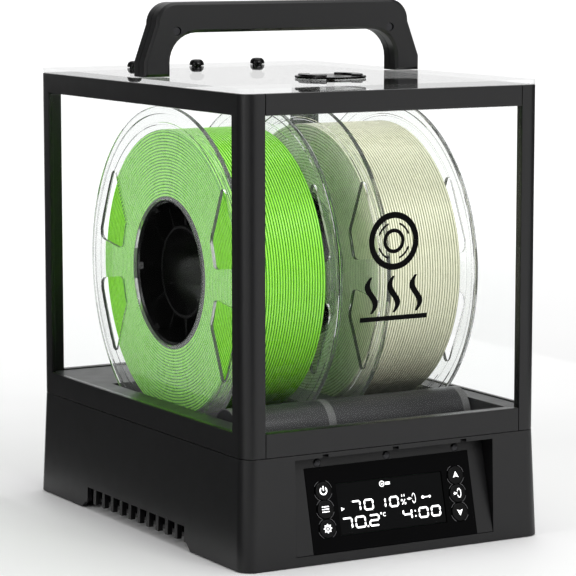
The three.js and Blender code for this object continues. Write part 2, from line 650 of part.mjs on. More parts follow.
function buildSideFrames() {
  const wall = coverWall();
  const fullDepth = [-HALF_Y - PAST, HALF_Y + PAST];
  const fullHeight = [0, FRAME_TOP_Z + PAST];
  for (const [side, sign] of Object.entries({ left: -1, right: 1 })) {
    const reach = [sign * (POST_X + GAP / 2), sign * (HALF_X + PAST)].sort((a, b) => a - b);
    const half = wall.intersect(block(reach, fullDepth, fullHeight));
    const opening = block(reach, [-POST_Y, POST_Y], WINDOW_Z);
    addPart(`frame_${side}`, cut(half, opening), BODY_BLACK);

    const faces = [sign * (HALF_X - PANE_INSET - PANE_T), sign * (HALF_X - PANE_INSET)];
    const pane = block(
      faces.sort((a, b) => a - b), [GAP - POST_Y, POST_Y - GAP], [WINDOW_Z[0] + GAP, WINDOW_Z[1] - GAP]);
    addPart(`window_${side}`, pane, CLEAR_ACRYLIC);
  }
}

function buildRails() {
  const width = [GAP / 2 - POST_X, POST_X - GAP / 2];
  for (const [place, sign] of Object.entries({ front: -1, back: 1 })) {
    const depth = [sign * (HALF_Y - FRONT_WALL), sign * HALF_Y].sort((a, b) => a - b);
    const top = block(width, depth, [WINDOW_Z[1], FRAME_TOP_Z]);
    const bottom = block(width, depth, [SEAM_Z + GAP, WINDOW_Z[0]]);
    addPart(`rail_${place}_top`, top, BODY_BLACK);
    addPart(`rail_${place}_bottom`, bottom, BODY_BLACK);

    const faces = [sign * (HALF_Y - PANE_INSET - PANE_T), sign * (HALF_Y - PANE_INSET)];
    const pane = block(
      width, faces.sort((a, b) => a - b), [WINDOW_Z[0] + GAP, WINDOW_Z[1] - GAP]);
    addPart(`window_${place}`, pane, CLEAR_ACRYLIC);
  }
}

// ---------------------------------------------------------------- top plate and its fittings

function buildTopPlate() {
  const plate = extrude(
    roundedRect(HALF_X, HALF_Y, CORNER_R), 'z', [FRAME_TOP_Z + GAP, PLATE_TOP_Z]);
  const through = [FRAME_TOP_Z - PAST, PLATE_TOP_Z + PAST];
  const outletHoles = Object.values(OUTLET.xs).map(
    (x) => rod('z', OUTLET_HOLE_R, through, [x, OUTLET.y, 0]));
  const pinHole = rod('z', VENT.pinHoleR, through, [0, VENT.y, 0]);
  addPart('top_plate', cut(plate, ...outletHoles, pinHole, ...ventHoles(0, through)), CLEAR_ACRYLIC);
}

// Air holes of the vent: the same ring of holes in the plate and, half a step round, in the dial.
function ventHoles(turnDeg, height) {
  return evenly(VENT_HOLE.count, 360 / VENT_HOLE.count).map((angle) => {
    const from = angle + turnDeg - VENT_HOLE.spread / 2;
    const shape = sector(VENT_HOLE.innerR, VENT_HOLE.outerR, from, from + VENT_HOLE.spread);
    return extrude(shape, 'z', height).translate([0, VENT.y, 0]);
  });
}

function buildVentDial() {
  const low = PLATE_TOP_Z + GAP;
  const top = low + VENT.rise;
  const centre = [0, VENT.y, 0];
  const disc = rod('z', VENT.r, [low, top], centre, VENT.segments);
  const pin = rod('z', VENT.pinR, [VENT.pinZ, top], centre);
  const { innerR, outerR, halfSpread } = VENT_LOBE;
  const lobes = [0, 180].map((angle) => extrude(
    sector(innerR, outerR, angle - halfSpread, angle + halfSpread), 'z',
    [top - GAP, top + VENT_LOBE.rise]).translate(centre));
  const halfStep = 180 / VENT_HOLE.count;
  const holes = ventHoles(halfStep, [low - PAST, top + PAST]);
  addPart('vent_dial', cut(join(disc, pin, ...lobes), ...holes), BODY_BLACK);
}

function buildOutlets() {
  const low = PLATE_TOP_Z + GAP;
  const outline = [
    [OUTLET.boreR, OUTLET_STEM_Z], [OUTLET.stemR, OUTLET_STEM_Z], [OUTLET.stemR, low],
    ...OUTLET_DOME.map(([radius, rise]) => [radius, low + rise]),
  ];
  for (const [place, x] of Object.entries(OUTLET.xs)) {
    const dome = turn(outline, 'z', SMALL_SEGMENTS).translate([x, OUTLET.y, 0]);
    addPart(`outlet_${place}`, dome, BODY_BLACK);
  }
}

// ---------------------------------------------------------------- handle

// Front view of the handle, as (Z, X) pairs for an extrusion along Y.
function handleShape() {
  const low = PLATE_TOP_Z + GAP;
  const arcCentreX = HANDLE_SLOPE_TOP.x - HANDLE.topArcR;
  const arcCentreZ = HANDLE_TOP_Z - HANDLE.topArcR;
  const gripX = HANDLE.legInnerX - GRIP.arcR;
  const gripZ = GRIP.undersideZ - GRIP.arcR;
  const quarter = Math.PI / 2;
  const shape = new THREE.Shape();
  shape.moveTo(low, HANDLE.legX);
  shape.lineTo(HANDLE.shoulderZ, HANDLE.legX);
  shape.lineTo(HANDLE_SLOPE_TOP.z, HANDLE_SLOPE_TOP.x);
  shape.absarc(arcCentreZ, arcCentreX, HANDLE.topArcR, quarter, 0, true);
  shape.absarc(arcCentreZ, -arcCentreX, HANDLE.topArcR, 0, -quarter, true);
  shape.lineTo(HANDLE.shoulderZ, -HANDLE.legX);
  shape.lineTo(low, -HANDLE.legX);
  shape.lineTo(low, -HANDLE.legInnerX);
  shape.absarc(gripZ, -gripX, GRIP.arcR, -quarter, 0, false);
  shape.absarc(gripZ, gripX, GRIP.arcR, 0, quarter, false);
  shape.lineTo(low, HANDLE.legInnerX);
  return shape;
}

function handleBody() {
  const geometry = new THREE.ExtrudeGeometry(handleShape(), {
    depth: 2 * (HANDLE.halfY - HANDLE.bevel),
    bevelThickness: HANDLE.bevel,
    bevelSize: HANDLE.bevel,
    bevelOffset: -HANDLE.bevel,
    bevelSegments: 1,
    curveSegments: HANDLE_ARC_SEGMENTS,
  });
  geometry.translate(0, 0, HANDLE.bevel - HANDLE.halfY);
  geometry.applyMatrix4(AXIS_FRAMES.y);
  return solid(geometry);
}

function buildHandle() {
  const body = handleBody();
  const wide = [-HALF_X - PAST, HALF_X + PAST];
  const tall = [0, HANDLE_TOP_Z + PAST];
  const screwXs = { left: -HANDLE_SCREW.x, right: HANDLE_SCREW.x };
  const screwHoles = Object.values(screwXs).map((x) => rod(
    'y', HANDLE_SCREW.holeR, [-HANDLE.halfY - PAST, HANDLE_SCREW.holeEnd], [x, 0, HANDLE_SCREW.z],
    SMALL_SEGMENTS));
  const front = body.intersect(block(wide, [-HANDLE.halfY - PAST, -GAP / 2], tall));
  const back = body.intersect(block(wide, [GAP / 2, HANDLE.halfY + PAST], tall));
  addPart('handle_front', cut(front, ...screwHoles), BODY_BLACK);
  addPart('handle_back', back, BODY_BLACK);
  for (const [side, x] of Object.entries(screwXs)) {
    const screw = rod('y', HANDLE_SCREW.r, HANDLE_SCREW.y, [x, 0, HANDLE_SCREW.z]);
    addPart(`handle_screw_${side}`, screw, BLACK_STEEL);
  }
}

// ---------------------------------------------------------------- spools

// A flange about X, from its flat inner face at 0 outward.
function flange(outward) {
  const outline = [
    [SPOOL.flangeBoreR, 0], [SPOOL.r, 0],
    [SPOOL.r, outward * SPOOL.flangeT], [SPOOL.flangeBoreR, outward * SPOOL.flangeT],
  ];
  const disc = turn(outline, 'x', SPOOL_SEGMENTS);
  const { innerR, outerR, from, to } = FLANGE_WINDOW;
  const starts = [from, -to, 180 + from, 180 - to];
  const windows = starts.map((start) => extrude(
    sector(innerR, outerR, start, start + to - from), 'x', [-PAST, PAST]));
  return cut(disc, ...windows);
}

function hubBody(halfLength) {
  const span = [-halfLength, halfLength];
  const drum = ring('x', HUB.outerR - HUB.wall, HUB.outerR, span, [0, 0, 0], LARGE_SEGMENTS);
  const sleeve = ring('x', HUB.boreR, HUB.sleeveR, span, [0, 0, 0], LARGE_SEGMENTS);
  const ribReach = [HUB.sleeveR - HUB.seat, HUB.outerR - HUB.seat];
  const ribs = evenly(HUB.ribs, 360 / HUB.ribs).map(
    (angle) => block(span, ribReach, [-HUB.ribT / 2, HUB.ribT / 2]).rotate([angle, 0, 0]));
  return join(drum, sleeve, ...ribs);
}

function buildSpools() {
  const spools = { left: [-1, FILAMENT_GREEN], right: [1, FILAMENT_CREAM] };
  const flangeFace = SPOOL.halfWidth - SPOOL.flangeT;
  const halfLength = flangeFace - GAP;
  for (const [side, [sign, filament]] of Object.entries(spools)) {
    const group = new THREE.Group();
    group.position.set(sign * SPOOL.x, 0, SPOOL.z);
    dryer.add(group);
    const outer = flange(sign).translate([sign * flangeFace, 0, 0]);
    const inner = flange(-sign).translate([-sign * flangeFace, 0, 0]);
    addPart(`spool_${side}_flange_outer`, outer, CLEAR_FLANGE, group);
    addPart(`spool_${side}_flange_inner`, inner, CLEAR_FLANGE, group);
    addPart(`spool_${side}_hub`, hubBody(halfLength), HUB_BLACK, group);
    const winding = ring('x', WINDING.innerR, WINDING.outerR, [-halfLength, halfLength],
      [0, 0, 0], LARGE_SEGMENTS);
    addPart(`spool_${side}_filament`, winding, filament, group);
  }
}

buildHousing();
buildDisplay();
buildKeys();
buildDeckTray();
buildRollers();
buildDrive();
buildFan();
buildHeater();
buildUnderside();
buildInlet();
buildSideFrames();
buildRails();
buildTopPlate();
buildVentDial();
buildOutlets();
buildHandle();
buildSpools();

export default dryer;
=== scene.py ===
"""Looks of the filament dryer box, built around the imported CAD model. Metres, +Z up."""
import json
import math
import random

import bmesh
import bpy
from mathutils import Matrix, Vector

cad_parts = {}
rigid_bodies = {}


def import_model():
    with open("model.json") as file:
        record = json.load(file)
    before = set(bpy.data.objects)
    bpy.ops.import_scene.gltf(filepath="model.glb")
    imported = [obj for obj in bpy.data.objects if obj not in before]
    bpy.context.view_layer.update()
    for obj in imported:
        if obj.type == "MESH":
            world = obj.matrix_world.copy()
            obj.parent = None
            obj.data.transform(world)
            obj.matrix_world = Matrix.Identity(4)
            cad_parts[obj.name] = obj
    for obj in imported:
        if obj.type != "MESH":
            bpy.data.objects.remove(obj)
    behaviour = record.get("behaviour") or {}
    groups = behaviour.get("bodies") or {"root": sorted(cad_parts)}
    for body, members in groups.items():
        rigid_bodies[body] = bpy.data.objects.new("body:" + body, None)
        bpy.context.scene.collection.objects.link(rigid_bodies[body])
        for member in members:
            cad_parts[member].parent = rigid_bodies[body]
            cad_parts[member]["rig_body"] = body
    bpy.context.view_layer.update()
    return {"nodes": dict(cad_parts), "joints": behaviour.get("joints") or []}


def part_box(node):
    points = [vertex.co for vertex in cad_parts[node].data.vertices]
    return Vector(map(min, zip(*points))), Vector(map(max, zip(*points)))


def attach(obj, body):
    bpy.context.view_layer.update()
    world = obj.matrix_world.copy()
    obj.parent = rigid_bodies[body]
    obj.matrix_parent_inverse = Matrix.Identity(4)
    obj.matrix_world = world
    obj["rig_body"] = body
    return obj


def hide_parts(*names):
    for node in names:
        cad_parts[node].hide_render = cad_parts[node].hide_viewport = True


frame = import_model()
MM = 0.001
SEED = 7

# ------------------------------------------------------------------ sizes taken from the frame


def placed(node):
    """A CAD node's middle, and half its size each way."""
    low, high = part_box(node)
    return (low + high) / 2, (high - low) / 2


JOINTS = {joint["name"]: joint for joint in frame["joints"]}
INWARD = Vector(JOINTS["key_power_press"]["axis"])  # into the leaning display
OUTWARD = -INWARD
RIGHT = Vector((1, 0, 0))
UP_FACE = OUTWARD.cross(RIGHT)  # up the leaning display

# ------------------------------------------------------------------ materials

RISE = "rise"  # point attribute: 0 in the groove between two turns of filament, 1 on the crest; the filament material uses it to paint shade into the grooves and a highlight onto the crests


class Nodes:
    """A material's node tree, with short ways to add and join nodes."""

    def __init__(self, name):
        self.material = bpy.data.materials.new(name)
        self.material.use_nodes = True
        self.tree = self.material.node_tree
        self.tree.nodes.clear()
        self.output = self.add("ShaderNodeOutputMaterial")
        self.coordinates = self.add("ShaderNodeTexCoord").outputs["Object"]

    def add(self, kind, **inputs):
        node = self.tree.nodes.new(kind)
        for key, value in inputs.items():
            node.inputs[key.replace("_", " ")].default_value = value
        return node

    def link(self, source, target):
        self.tree.links.new(source, target)

    def noise(self, scale, detail=3.0, stretch=None):
        """Noise from 0 to 1 in object space, finer along the axes where stretch is larger."""
        node = self.add("ShaderNodeTexNoise", Scale=scale, Detail=detail)
        source = self.coordinates
        if stretch:
            mapping = self.add("ShaderNodeMapping", Scale=stretch)
            self.link(source, mapping.inputs["Vector"])
            source = mapping.outputs["Vector"]
        self.link(source, node.inputs["Vector"])
        return node.outputs["Fac"]

    def remap(self, source, low, high, from_low=0.3, from_high=0.7):
        """A value scaled and held between low and high. The default range is noise's own."""
        node = self.add("ShaderNodeMapRange")
        values = {"From Min": from_low, "From Max": from_high, "To Min": low, "To Max": high}
        for key, value in values.items():
            node.inputs[key].default_value = value
        self.link(source, node.inputs["Value"])
        return node.outputs["Result"]

    def blend(self, source, first, second):
        """A colour between first and second."""
        node = self.add("ShaderNodeMix")
        node.data_type = "RGBA"
        self.link(source, node.inputs["Factor"])
        for socket, colour in (("A", first), ("B", second)):
            for entry in node.inputs:
                if entry.type == "RGBA" and entry.name == socket:
                    entry.default_value = (*colour, 1)
        return [out for out in node.outputs if out.type == "RGBA"][0]

    def bump(self, height, strength, distance=0.0002, normal=None):
        node = self.add("ShaderNodeBump", Strength=strength, Distance=distance)
        self.link(height, node.inputs["Height"])
        if normal is not None:
            self.link(normal, node.inputs["Normal"])
        return node.outputs["Normal"]

    def maths(self, operation, first, second=None):
        """A Math node on one socket, or on a socket and a second socket or number."""
        node = self.add("ShaderNodeMath")
        node.operation = operation
        self.link(first, node.inputs[0])
        if isinstance(second, float):
            node.inputs[1].default_value = second
        elif second is not None:
            self.link(second, node.inputs[1])
        return node.outputs["Value"]

    def finish(self, shader):
        self.link(shader, self.output.inputs["Surface"])
        return self.material


def plastic(name, colour, roughness, grain=0.0, grain_scale=2600.0, drift=0.06, specular=0.5):
    """Moulded plastic: uneven gloss, slight colour drift and, if grain is set, a fine texture."""
    n = Nodes(name)
    shader = n.add("ShaderNodeBsdfPrincipled", Specular_IOR_Level=specular)
    cloud = n.noise(38.0, 4.0)
    dark = [channel * (1 - drift) for channel in colour]
    light = [min(1.0, channel * (1 + drift)) for channel in colour]
    n.link(n.blend(n.remap(cloud, 0.0, 1.0), dark, light), shader.inputs["Base Color"])
    n.link(n.remap(n.noise(90.0, 5.0), roughness * 0.93, min(1.0, roughness * 1.08)),
           shader.inputs["Roughness"])
    ripple = n.bump(n.noise(55.0, 2.0), 0.04, 0.0003)
    if grain:
        ripple = n.bump(n.noise(grain_scale, 2.0), grain, 0.00012, ripple)
    n.link(ripple, shader.inputs["Normal"])
    return n.finish(shader.outputs["BSDF"])


def filament(name, groove, lit_crest, roughness=0.28):
    """Wound filament: painted shade darkens the grooves between turns, and a painted highlight lightens the
    crests.
    """
    n = Nodes(name)
    shader = n.add("ShaderNodeBsdfPrincipled", Specular_IOR_Level=0.5)
    height = n.add("ShaderNodeAttribute")
    height.attribute_name = RISE
    rise = n.remap(height.outputs["Fac"], 0.0, 1.0, 0.45, 1.0)
    streaks = n.remap(n.noise(45.0, 3.0, (1.0, 3.0, 3.0)), 0.975, 1.02)
    tone = n.add("ShaderNodeVectorMath")
    tone.operation = "SCALE"
    # painted shade in the grooves, painted highlight on the crests
    n.link(n.blend(rise, groove, lit_crest), tone.inputs[0])
    n.link(streaks, tone.inputs["Scale"])
    n.link(tone.outputs["Vector"], shader.inputs["Base Color"])
    n.link(n.remap(n.noise(120.0, 3.0), roughness * 0.85, roughness * 1.15), shader.inputs["Roughness"])
    n.link(n.bump(n.noise(700.0, 2.0), 0.05, 0.0001), shader.inputs["Normal"])
    return n.finish(shader.outputs["BSDF"])


def metal(name, colour, roughness, brushed=(1, 1, 1)):
    """Metal with fine streaks, finer along the axes where brushed is larger."""
    n = Nodes(name)
    shader = n.add("ShaderNodeBsdfPrincipled", Metallic=1.0)
    streaks = n.noise(900.0, 3.0, brushed)
    dark = [channel * 0.85 for channel in colour]
    n.link(n.blend(n.remap(streaks, 0.0, 1.0), dark, colour), shader.inputs["Base Color"])
    n.link(n.remap(streaks, roughness * 0.8, roughness * 1.2), shader.inputs["Roughness"])
    n.link(n.bump(streaks, 0.1, 0.00005), shader.inputs["Normal"])
    return n.finish(shader.outputs["BSDF"])


def clear_sheet(name, tint=(0.994, 0.997, 0.996), head_on=0.003, falloff=9.0, gloss=0.02):
    """Thin clear sheet: what is behind it shows, and it mirrors at a low angle.

    Light that has already bounced passes straight through.
    """
    n = Nodes(name)
    through = n.add("ShaderNodeBsdfTransparent")
    cloud = n.remap(n.noise(30.0, 2.0), 0.0, 1.0)
    n.link(n.blend(cloud, [c * 0.997 for c in tint], tint), through.inputs["Color"])
    mirror = n.add("ShaderNodeBsdfPrincipled", Metallic=1.0, Base_Color=(1, 1, 1, 1))
    n.link(n.remap(n.noise(70.0, 3.0), gloss * 0.6, gloss * 1.4), mirror.inputs["Roughness"])
    n.link(n.bump(n.noise(9.0, 1.0), 0.02, 0.0004), mirror.inputs["Normal"])
    facing = n.add("ShaderNodeLayerWeight", Blend=0.5).outputs["Facing"]
    power = n.maths("POWER", facing, falloff)
    mix = n.add("ShaderNodeMixShader")
    path = n.add("ShaderNodeLightPath")
    bounced = n.maths("MAXIMUM", path.outputs["Is Diffuse Ray"], path.outputs["Is Glossy Ray"])
    seen = n.maths("LESS_THAN", bounced, 0.5)
    share = n.remap(power, head_on, 1.0, 0.0, 1.0)
    n.link(n.maths("MULTIPLY", share, seen), mix.inputs["Fac"])
    n.link(through.outputs["BSDF"], mix.inputs[1])
    n.link(mirror.outputs["BSDF"], mix.inputs[2])
    return n.finish(mix.outputs["Shader"])


def clear_moulding(name, tint=(0.985, 0.997, 0.99), ior=1.27, haze=0.06, painted_edge_shade=0.3):
    """Thick clear moulding that bends light: slightly milky faces across X, and painted shade on its edges,
    a near-black diffuse standing in for the dark lines that refraction draws there.

    Lamps and bounced light pass straight through to what is behind it.
    """
    n = Nodes(name)
    glass = n.add("ShaderNodeBsdfPrincipled", IOR=ior, Transmission_Weight=1.0)
    cloud = n.remap(n.noise(25.0, 2.0), 0.0, 1.0)
    n.link(n.blend(cloud, [c * 0.985 for c in tint], tint), glass.inputs["Base Color"])
    n.link(n.remap(n.noise(60.0, 3.0), 0.005, 0.02), glass.inputs["Roughness"])
    n.link(n.bump(n.noise(14.0, 1.0), 0.012, 0.0004), glass.inputs["Normal"])
    milk = n.add("ShaderNodeBsdfDiffuse", Color=(1.0, 1.0, 1.0, 1.0))
    along = n.add("ShaderNodeSeparateXYZ")
    n.link(n.add("ShaderNodeTexCoord").outputs["Normal"], along.inputs["Vector"])
    flatness = n.maths("ABSOLUTE", along.outputs["X"])
    # painted shade: a near-black diffuse mixed into the edge faces, in place of the dark refraction lines
    # along clear plastic edges
    edge_shade_paint = n.add("ShaderNodeBsdfDiffuse", Color=(0.004, 0.005, 0.004, 1.0))
    edge_shaded = n.add("ShaderNodeMixShader")
    n.link(n.remap(flatness, painted_edge_shade, 0.0, 0.3, 0.6), edge_shaded.inputs["Fac"])
    n.link(glass.outputs["BSDF"], edge_shaded.inputs[1])
    n.link(edge_shade_paint.outputs["BSDF"], edge_shaded.inputs[2])
    milky = n.add("ShaderNodeMixShader")
    n.link(n.remap(flatness, 0.0, haze, 0.9, 1.0), milky.inputs["Fac"])
    n.link(edge_shaded.outputs["Shader"], milky.inputs[1])
    n.link(milk.outputs["BSDF"], milky.inputs[2])
    through = n.add("ShaderNodeBsdfTransparent", Color=(0.96, 0.98, 0.97, 1.0))
    path = n.add("ShaderNodeLightPath")
    untouched = n.maths("LESS_THAN", path.outputs["Transmission Depth"], 0.5)
    mirrored = n.maths("MULTIPLY", path.outputs["Is Glossy Ray"], untouched)
    lighting = n.maths("MAXIMUM", path.outputs["Is Shadow Ray"], path.outputs["Is Diffuse Ray"])
    lighting = n.maths("MAXIMUM", lighting, mirrored)
    mix = n.add("ShaderNodeMixShader")
    n.link(lighting, mix.inputs["Fac"])
    n.link(milky.outputs["Shader"], mix.inputs[1])
    n.link(through.outputs["BSDF"], mix.inputs[2])
    return n.finish(mix.outputs["Shader"])


def lit(name, colour, strength):
    """Printing or segments that glow."""
    n = Nodes(name)
    shader = n.add("ShaderNodeBsdfPrincipled", Emission_Strength=strength, Roughness=0.4)
    cloud = n.remap(n.noise(200.0, 2.0), 0.0, 1.0)
    tone = n.blend(cloud, [c * 0.94 for c in colour], colour)
    n.link(tone, shader.inputs["Base Color"])
    n.link(tone, shader.inputs["Emission Color"])
    return n.finish(shader.outputs["BSDF"])


BODY = plastic("body_black", (0.0045, 0.0045, 0.005), 0.36, grain=0.25, specular=0.36)
FITTING = plastic("fitting_black", (0.002, 0.002, 0.0022), 0.22, specular=0.25)
DECK = plastic("deck_black", (0.04, 0.04, 0.042), 0.38, specular=0.26)
PANEL = plastic("panel_black", (0.001, 0.001, 0.0012), 0.14, specular=0.04)
LCD = plastic("lcd_black", (0.0036, 0.0038, 0.004), 0.22, specular=0.04)
KEY = plastic("key_black", (0.001, 0.001, 0.0012), 0.16, specular=0.14)
ROLLER = plastic("roller_black", (0.032, 0.032, 0.034), 0.36, specular=0.3)
FAN = plastic("fan_black", (0.01, 0.01, 0.01), 0.5, grain=0.3, specular=0.4)
HUB = plastic("hub_black", (0.0015, 0.0016, 0.0016), 0.24, specular=0.6)
RUBBER = plastic("foot_rubber", (0.018, 0.018, 0.018), 0.85, grain=0.6, grain_scale=1400.0)
NYLON = plastic("white_nylon", (0.72, 0.71, 0.66), 0.4)
BOARD = plastic("board_green", (0.012, 0.09, 0.035), 0.4)
PRINT = plastic("print_black", (0.0015, 0.0015, 0.0016), 0.6, specular=0.05)
# Each filament's first colour is painted shade for the grooves, its second a painted highlight for the
# crests.
GREEN = filament("filament_green", (0.012, 0.28, 0.001), (0.38, 0.97, 0.07))
CREAM = filament("filament_cream", (0.36, 0.38, 0.22), (0.99, 0.99, 0.76))
STEEL = metal("steel", (0.55, 0.56, 0.58), 0.28)
SCREW = metal("black_screw", (0.045, 0.045, 0.048), 0.32)
HEATER = metal("heater_aluminium", (0.68, 0.69, 0.7), 0.35, (1, 12, 1))
WINDOW = clear_sheet("clear_acrylic")
TOP_SHEET = clear_sheet("clear_top", head_on=0.02, falloff=4.0)
FLANGE = clear_moulding("clear_flange")
# painted highlight: the grey of the arcs around the keys, in place of their rims catching the light
KEY_HIGHLIGHT_PAINT = plastic("key_highlight_grey", (0.11, 0.11, 0.115), 0.3)
GRIP = plastic("grip_grey", (0.11, 0.11, 0.11), 0.4)
GLOW = lit("lit_white", (1.0, 1.0, 1.0), 1.3)

# ------------------------------------------------------------------ mesh helpers


def new_object(name, mesh, material, smooth_angle=35.0):
    """A mesh as an object in the scene, in one material and smooth-shaded."""
    piece = bpy.data.objects.new(name, mesh)
    bpy.context.scene.collection.objects.link(piece)
    mesh.materials.clear()
    mesh.materials.append(material)
    smooth(piece, smooth_angle)
    return piece


def smooth(piece, angle):
    """Smooth shading, with edges sharper than the angle kept sharp."""
    mesh = piece.data
    bm = bmesh.new()
    bm.from_mesh(mesh)
    limit = math.radians(angle)
    for face in bm.faces:
        face.smooth = True
    for edge in bm.edges:
        edge.smooth = len(edge.link_faces) == 2 and edge.calc_face_angle(0.0) < limit
    bm.to_mesh(mesh)
    bm.free()


def apply_modifiers(piece):
    """Bakes a piece's modifiers into its mesh."""
    graph = bpy.context.evaluated_depsgraph_get()
    mesh = bpy.data.meshes.new_from_object(piece.evaluated_get(graph))
    piece.modifiers.clear()
    piece.data = mesh


def bevel(piece, width, segments=2, angle=30.0):
    """Rounds the edges that are sharper than the angle."""
    modifier = piece.modifiers.new("edges", "BEVEL")
    modifier.width = width
    modifier.segments = segments
    modifier.limit_method = "ANGLE"
    modifier.angle_limit = math.radians(angle)
    apply_modifiers(piece)


def weigh_normals(piece):
    """Keeps flat faces flat beside rounded edges."""
    modifier = piece.modifiers.new("normals", "WEIGHTED_NORMAL")
    modifier.weight = 100
    modifier.keep_sharp = True
    apply_modifiers(piece)


def refined(node, material, slot, width=0.4 * MM):
    """A finer copy of a CAD solid: flat faces merged, edges rounded, curved faces smooth."""
    source = frame["nodes"][node]
    bm = bmesh.new()
    bm.from_mesh(source.data)
    bmesh.ops.remove_doubles(bm, verts=bm.verts, dist=1e-6)
    bmesh.ops.dissolve_limit(
        bm, angle_limit=math.radians(1.0), verts=bm.verts, edges=bm.edges, delimit={"NORMAL"})
    mesh = bpy.data.meshes.new(node + "_skin")
    bm.to_mesh(mesh)
    bm.free()
    piece = new_object(mesh.name, mesh, material)
    bevel(piece, width)
    smooth(piece, 40.0)
    weigh_normals(piece)
    settle(piece, source["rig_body"], slot, node)


def settle(piece, body, slot, *replaced):
    """Puts a piece on its body, in place of the CAD nodes that it stands for. The slot is not used."""
    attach(piece, body)
    if replaced:
        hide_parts(*replaced)


def dress(node, material):
    """A CAD node that stays, in a better material."""
    mesh = frame["nodes"][node].data
    mesh.materials.clear()
    mesh.materials.append(material)


# ------------------------------------------------------------------ camera and studio

LENS = 168.6
CAMERA_AT = Vector((-0.8154, -1.4233, 0.3578))
AIM = Vector((0.0044, -0.0025, 0.1395))
FLOOR_SIZE = 200.0
FLOOR_GLOW = (0.0, 0.5)  # strength near the box, and far from it
GLOW_REACH = (0.3, 1.6)  # how far from the box each of those two holds
# Area lights that all point at a spot above the origin: place, height of the spot, size, watts.
LIGHTS = {
    "top_light": ((0.1, 0.1, 1.4), 0.1, (1.2, 1.2), 6.0),
    "left_light": ((-1.5, -0.2, 0.7), 0.15, (0.5, 1.0), 7.0),
    "front_light": ((0.1, -1.5, 1.3), 0.15, (0.8, 0.6), 13.0),
}
# Dark cards that lie on the floor and turn up at their far edge: two near and two far corners.
FLAGS = {
    "flag_left": ((-0.13, -0.15), (-0.13, 3.0), (-1.1, 3.0), (-1.1, -0.15)),
    "flag_right": ((0.5, -0.55), (0.5, 1.0), (1.1, 1.0), (1.1, -0.55)),
    "flag_front": ((-0.26, -0.42), (-0.13, -0.45), (-0.25, -2.4), (-1.5, -1.9)),
}
FLAG_LEVEL = 0.002
FLAG_TOP = 2.0
# The sky's strength is the sum of one smooth ramp along each of these axes.
SKY_RAMPS = {
    "X": {"From Min": -0.3, "From Max": 0.35, "To Min": 0.2, "To Max": 1.1},
    "Z": {"From Min": 0.2, "From Max": 0.9, "To Min": 0.0, "To Max": 0.3},
}


def make_camera():
    data = bpy.data.cameras.new("camera")
    data.lens = LENS
    data.sensor_width = 36.0
    camera = bpy.data.objects.new("camera", data)
    bpy.context.scene.collection.objects.link(camera)
    camera.location = CAMERA_AT
    camera.rotation_euler = (AIM - CAMERA_AT).to_track_quat("-Z", "Y").to_euler()
    bpy.context.scene.camera = camera


def make_floor():
    bpy.ops.mesh.primitive_plane_add(size=FLOOR_SIZE, location=(0, 0, 0))
    floor = bpy.context.object
    floor.name = "floor"
    n = Nodes("floor_white")
    shader = n.add("ShaderNodeBsdfPrincipled")
    cloud = n.remap(n.noise(3.0, 2.0), 0.0, 1.0)
    n.link(n.blend(cloud, (0.86, 0.86, 0.86), (0.88, 0.88, 0.88)), shader.inputs["Base Color"])
    shader.inputs["Roughness"].default_value = 0.6
    shader.inputs["Emission Color"].default_value = (1, 1, 1, 1)
    reach = n.add("ShaderNodeVectorMath")
    reach.operation = "LENGTH"
    n.link(n.coordinates, reach.inputs[0])
    n.link(n.remap(reach.outputs["Value"], *FLOOR_GLOW, *GLOW_REACH), shader.inputs["Emission Strength"])
    floor.data.materials.append(n.finish(shader.outputs["BSDF"]))


def softbox(name, location, target, size, energy):
    data = bpy.data.lights.new(name, "AREA")
    data.shape = "RECTANGLE"
    data.size = size[0]
    data.size_y = size[1]
    data.energy = energy
    lamp = bpy.data.objects.new(name, data)
    bpy.context.scene.collection.objects.link(lamp)
    lamp.location = location
    lamp.rotation_euler = (Vector(target) - Vector(location)).to_track_quat("-Z", "Y").to_euler()


def make_flags():
    """Dark cards that only reflections see, so that black plastic stays black."""
    n = Nodes("flag_dark")
    shader = n.add("ShaderNodeBsdfPrincipled", Roughness=0.9)
    cloud = n.remap(n.noise(2.0, 2.0), 0.0, 1.0)
    n.link(n.blend(cloud, (0.05, 0.05, 0.05), (0.07, 0.07, 0.07)), shader.inputs["Base Color"])
    material = n.finish(shader.outputs["BSDF"])
    for name, places in FLAGS.items():
        corners = [(*place, FLAG_LEVEL) for place in places]
        corners += [(*place, FLAG_TOP) for place in places[:1:-1]]
        mesh = bpy.data.meshes.new(name)
        mesh.from_pydata(corners, [], [(0, 1, 2, 3), (2, 3, 4, 5)])
        mesh.materials.append(material)
        flag = bpy.data.objects.new(name, mesh)
        bpy.context.scene.collection.objects.link(flag)
        for ray in ("camera", "diffuse", "transmission", "shadow", "volume_scatter"):
            setattr(flag, f"visible_{ray}", False)


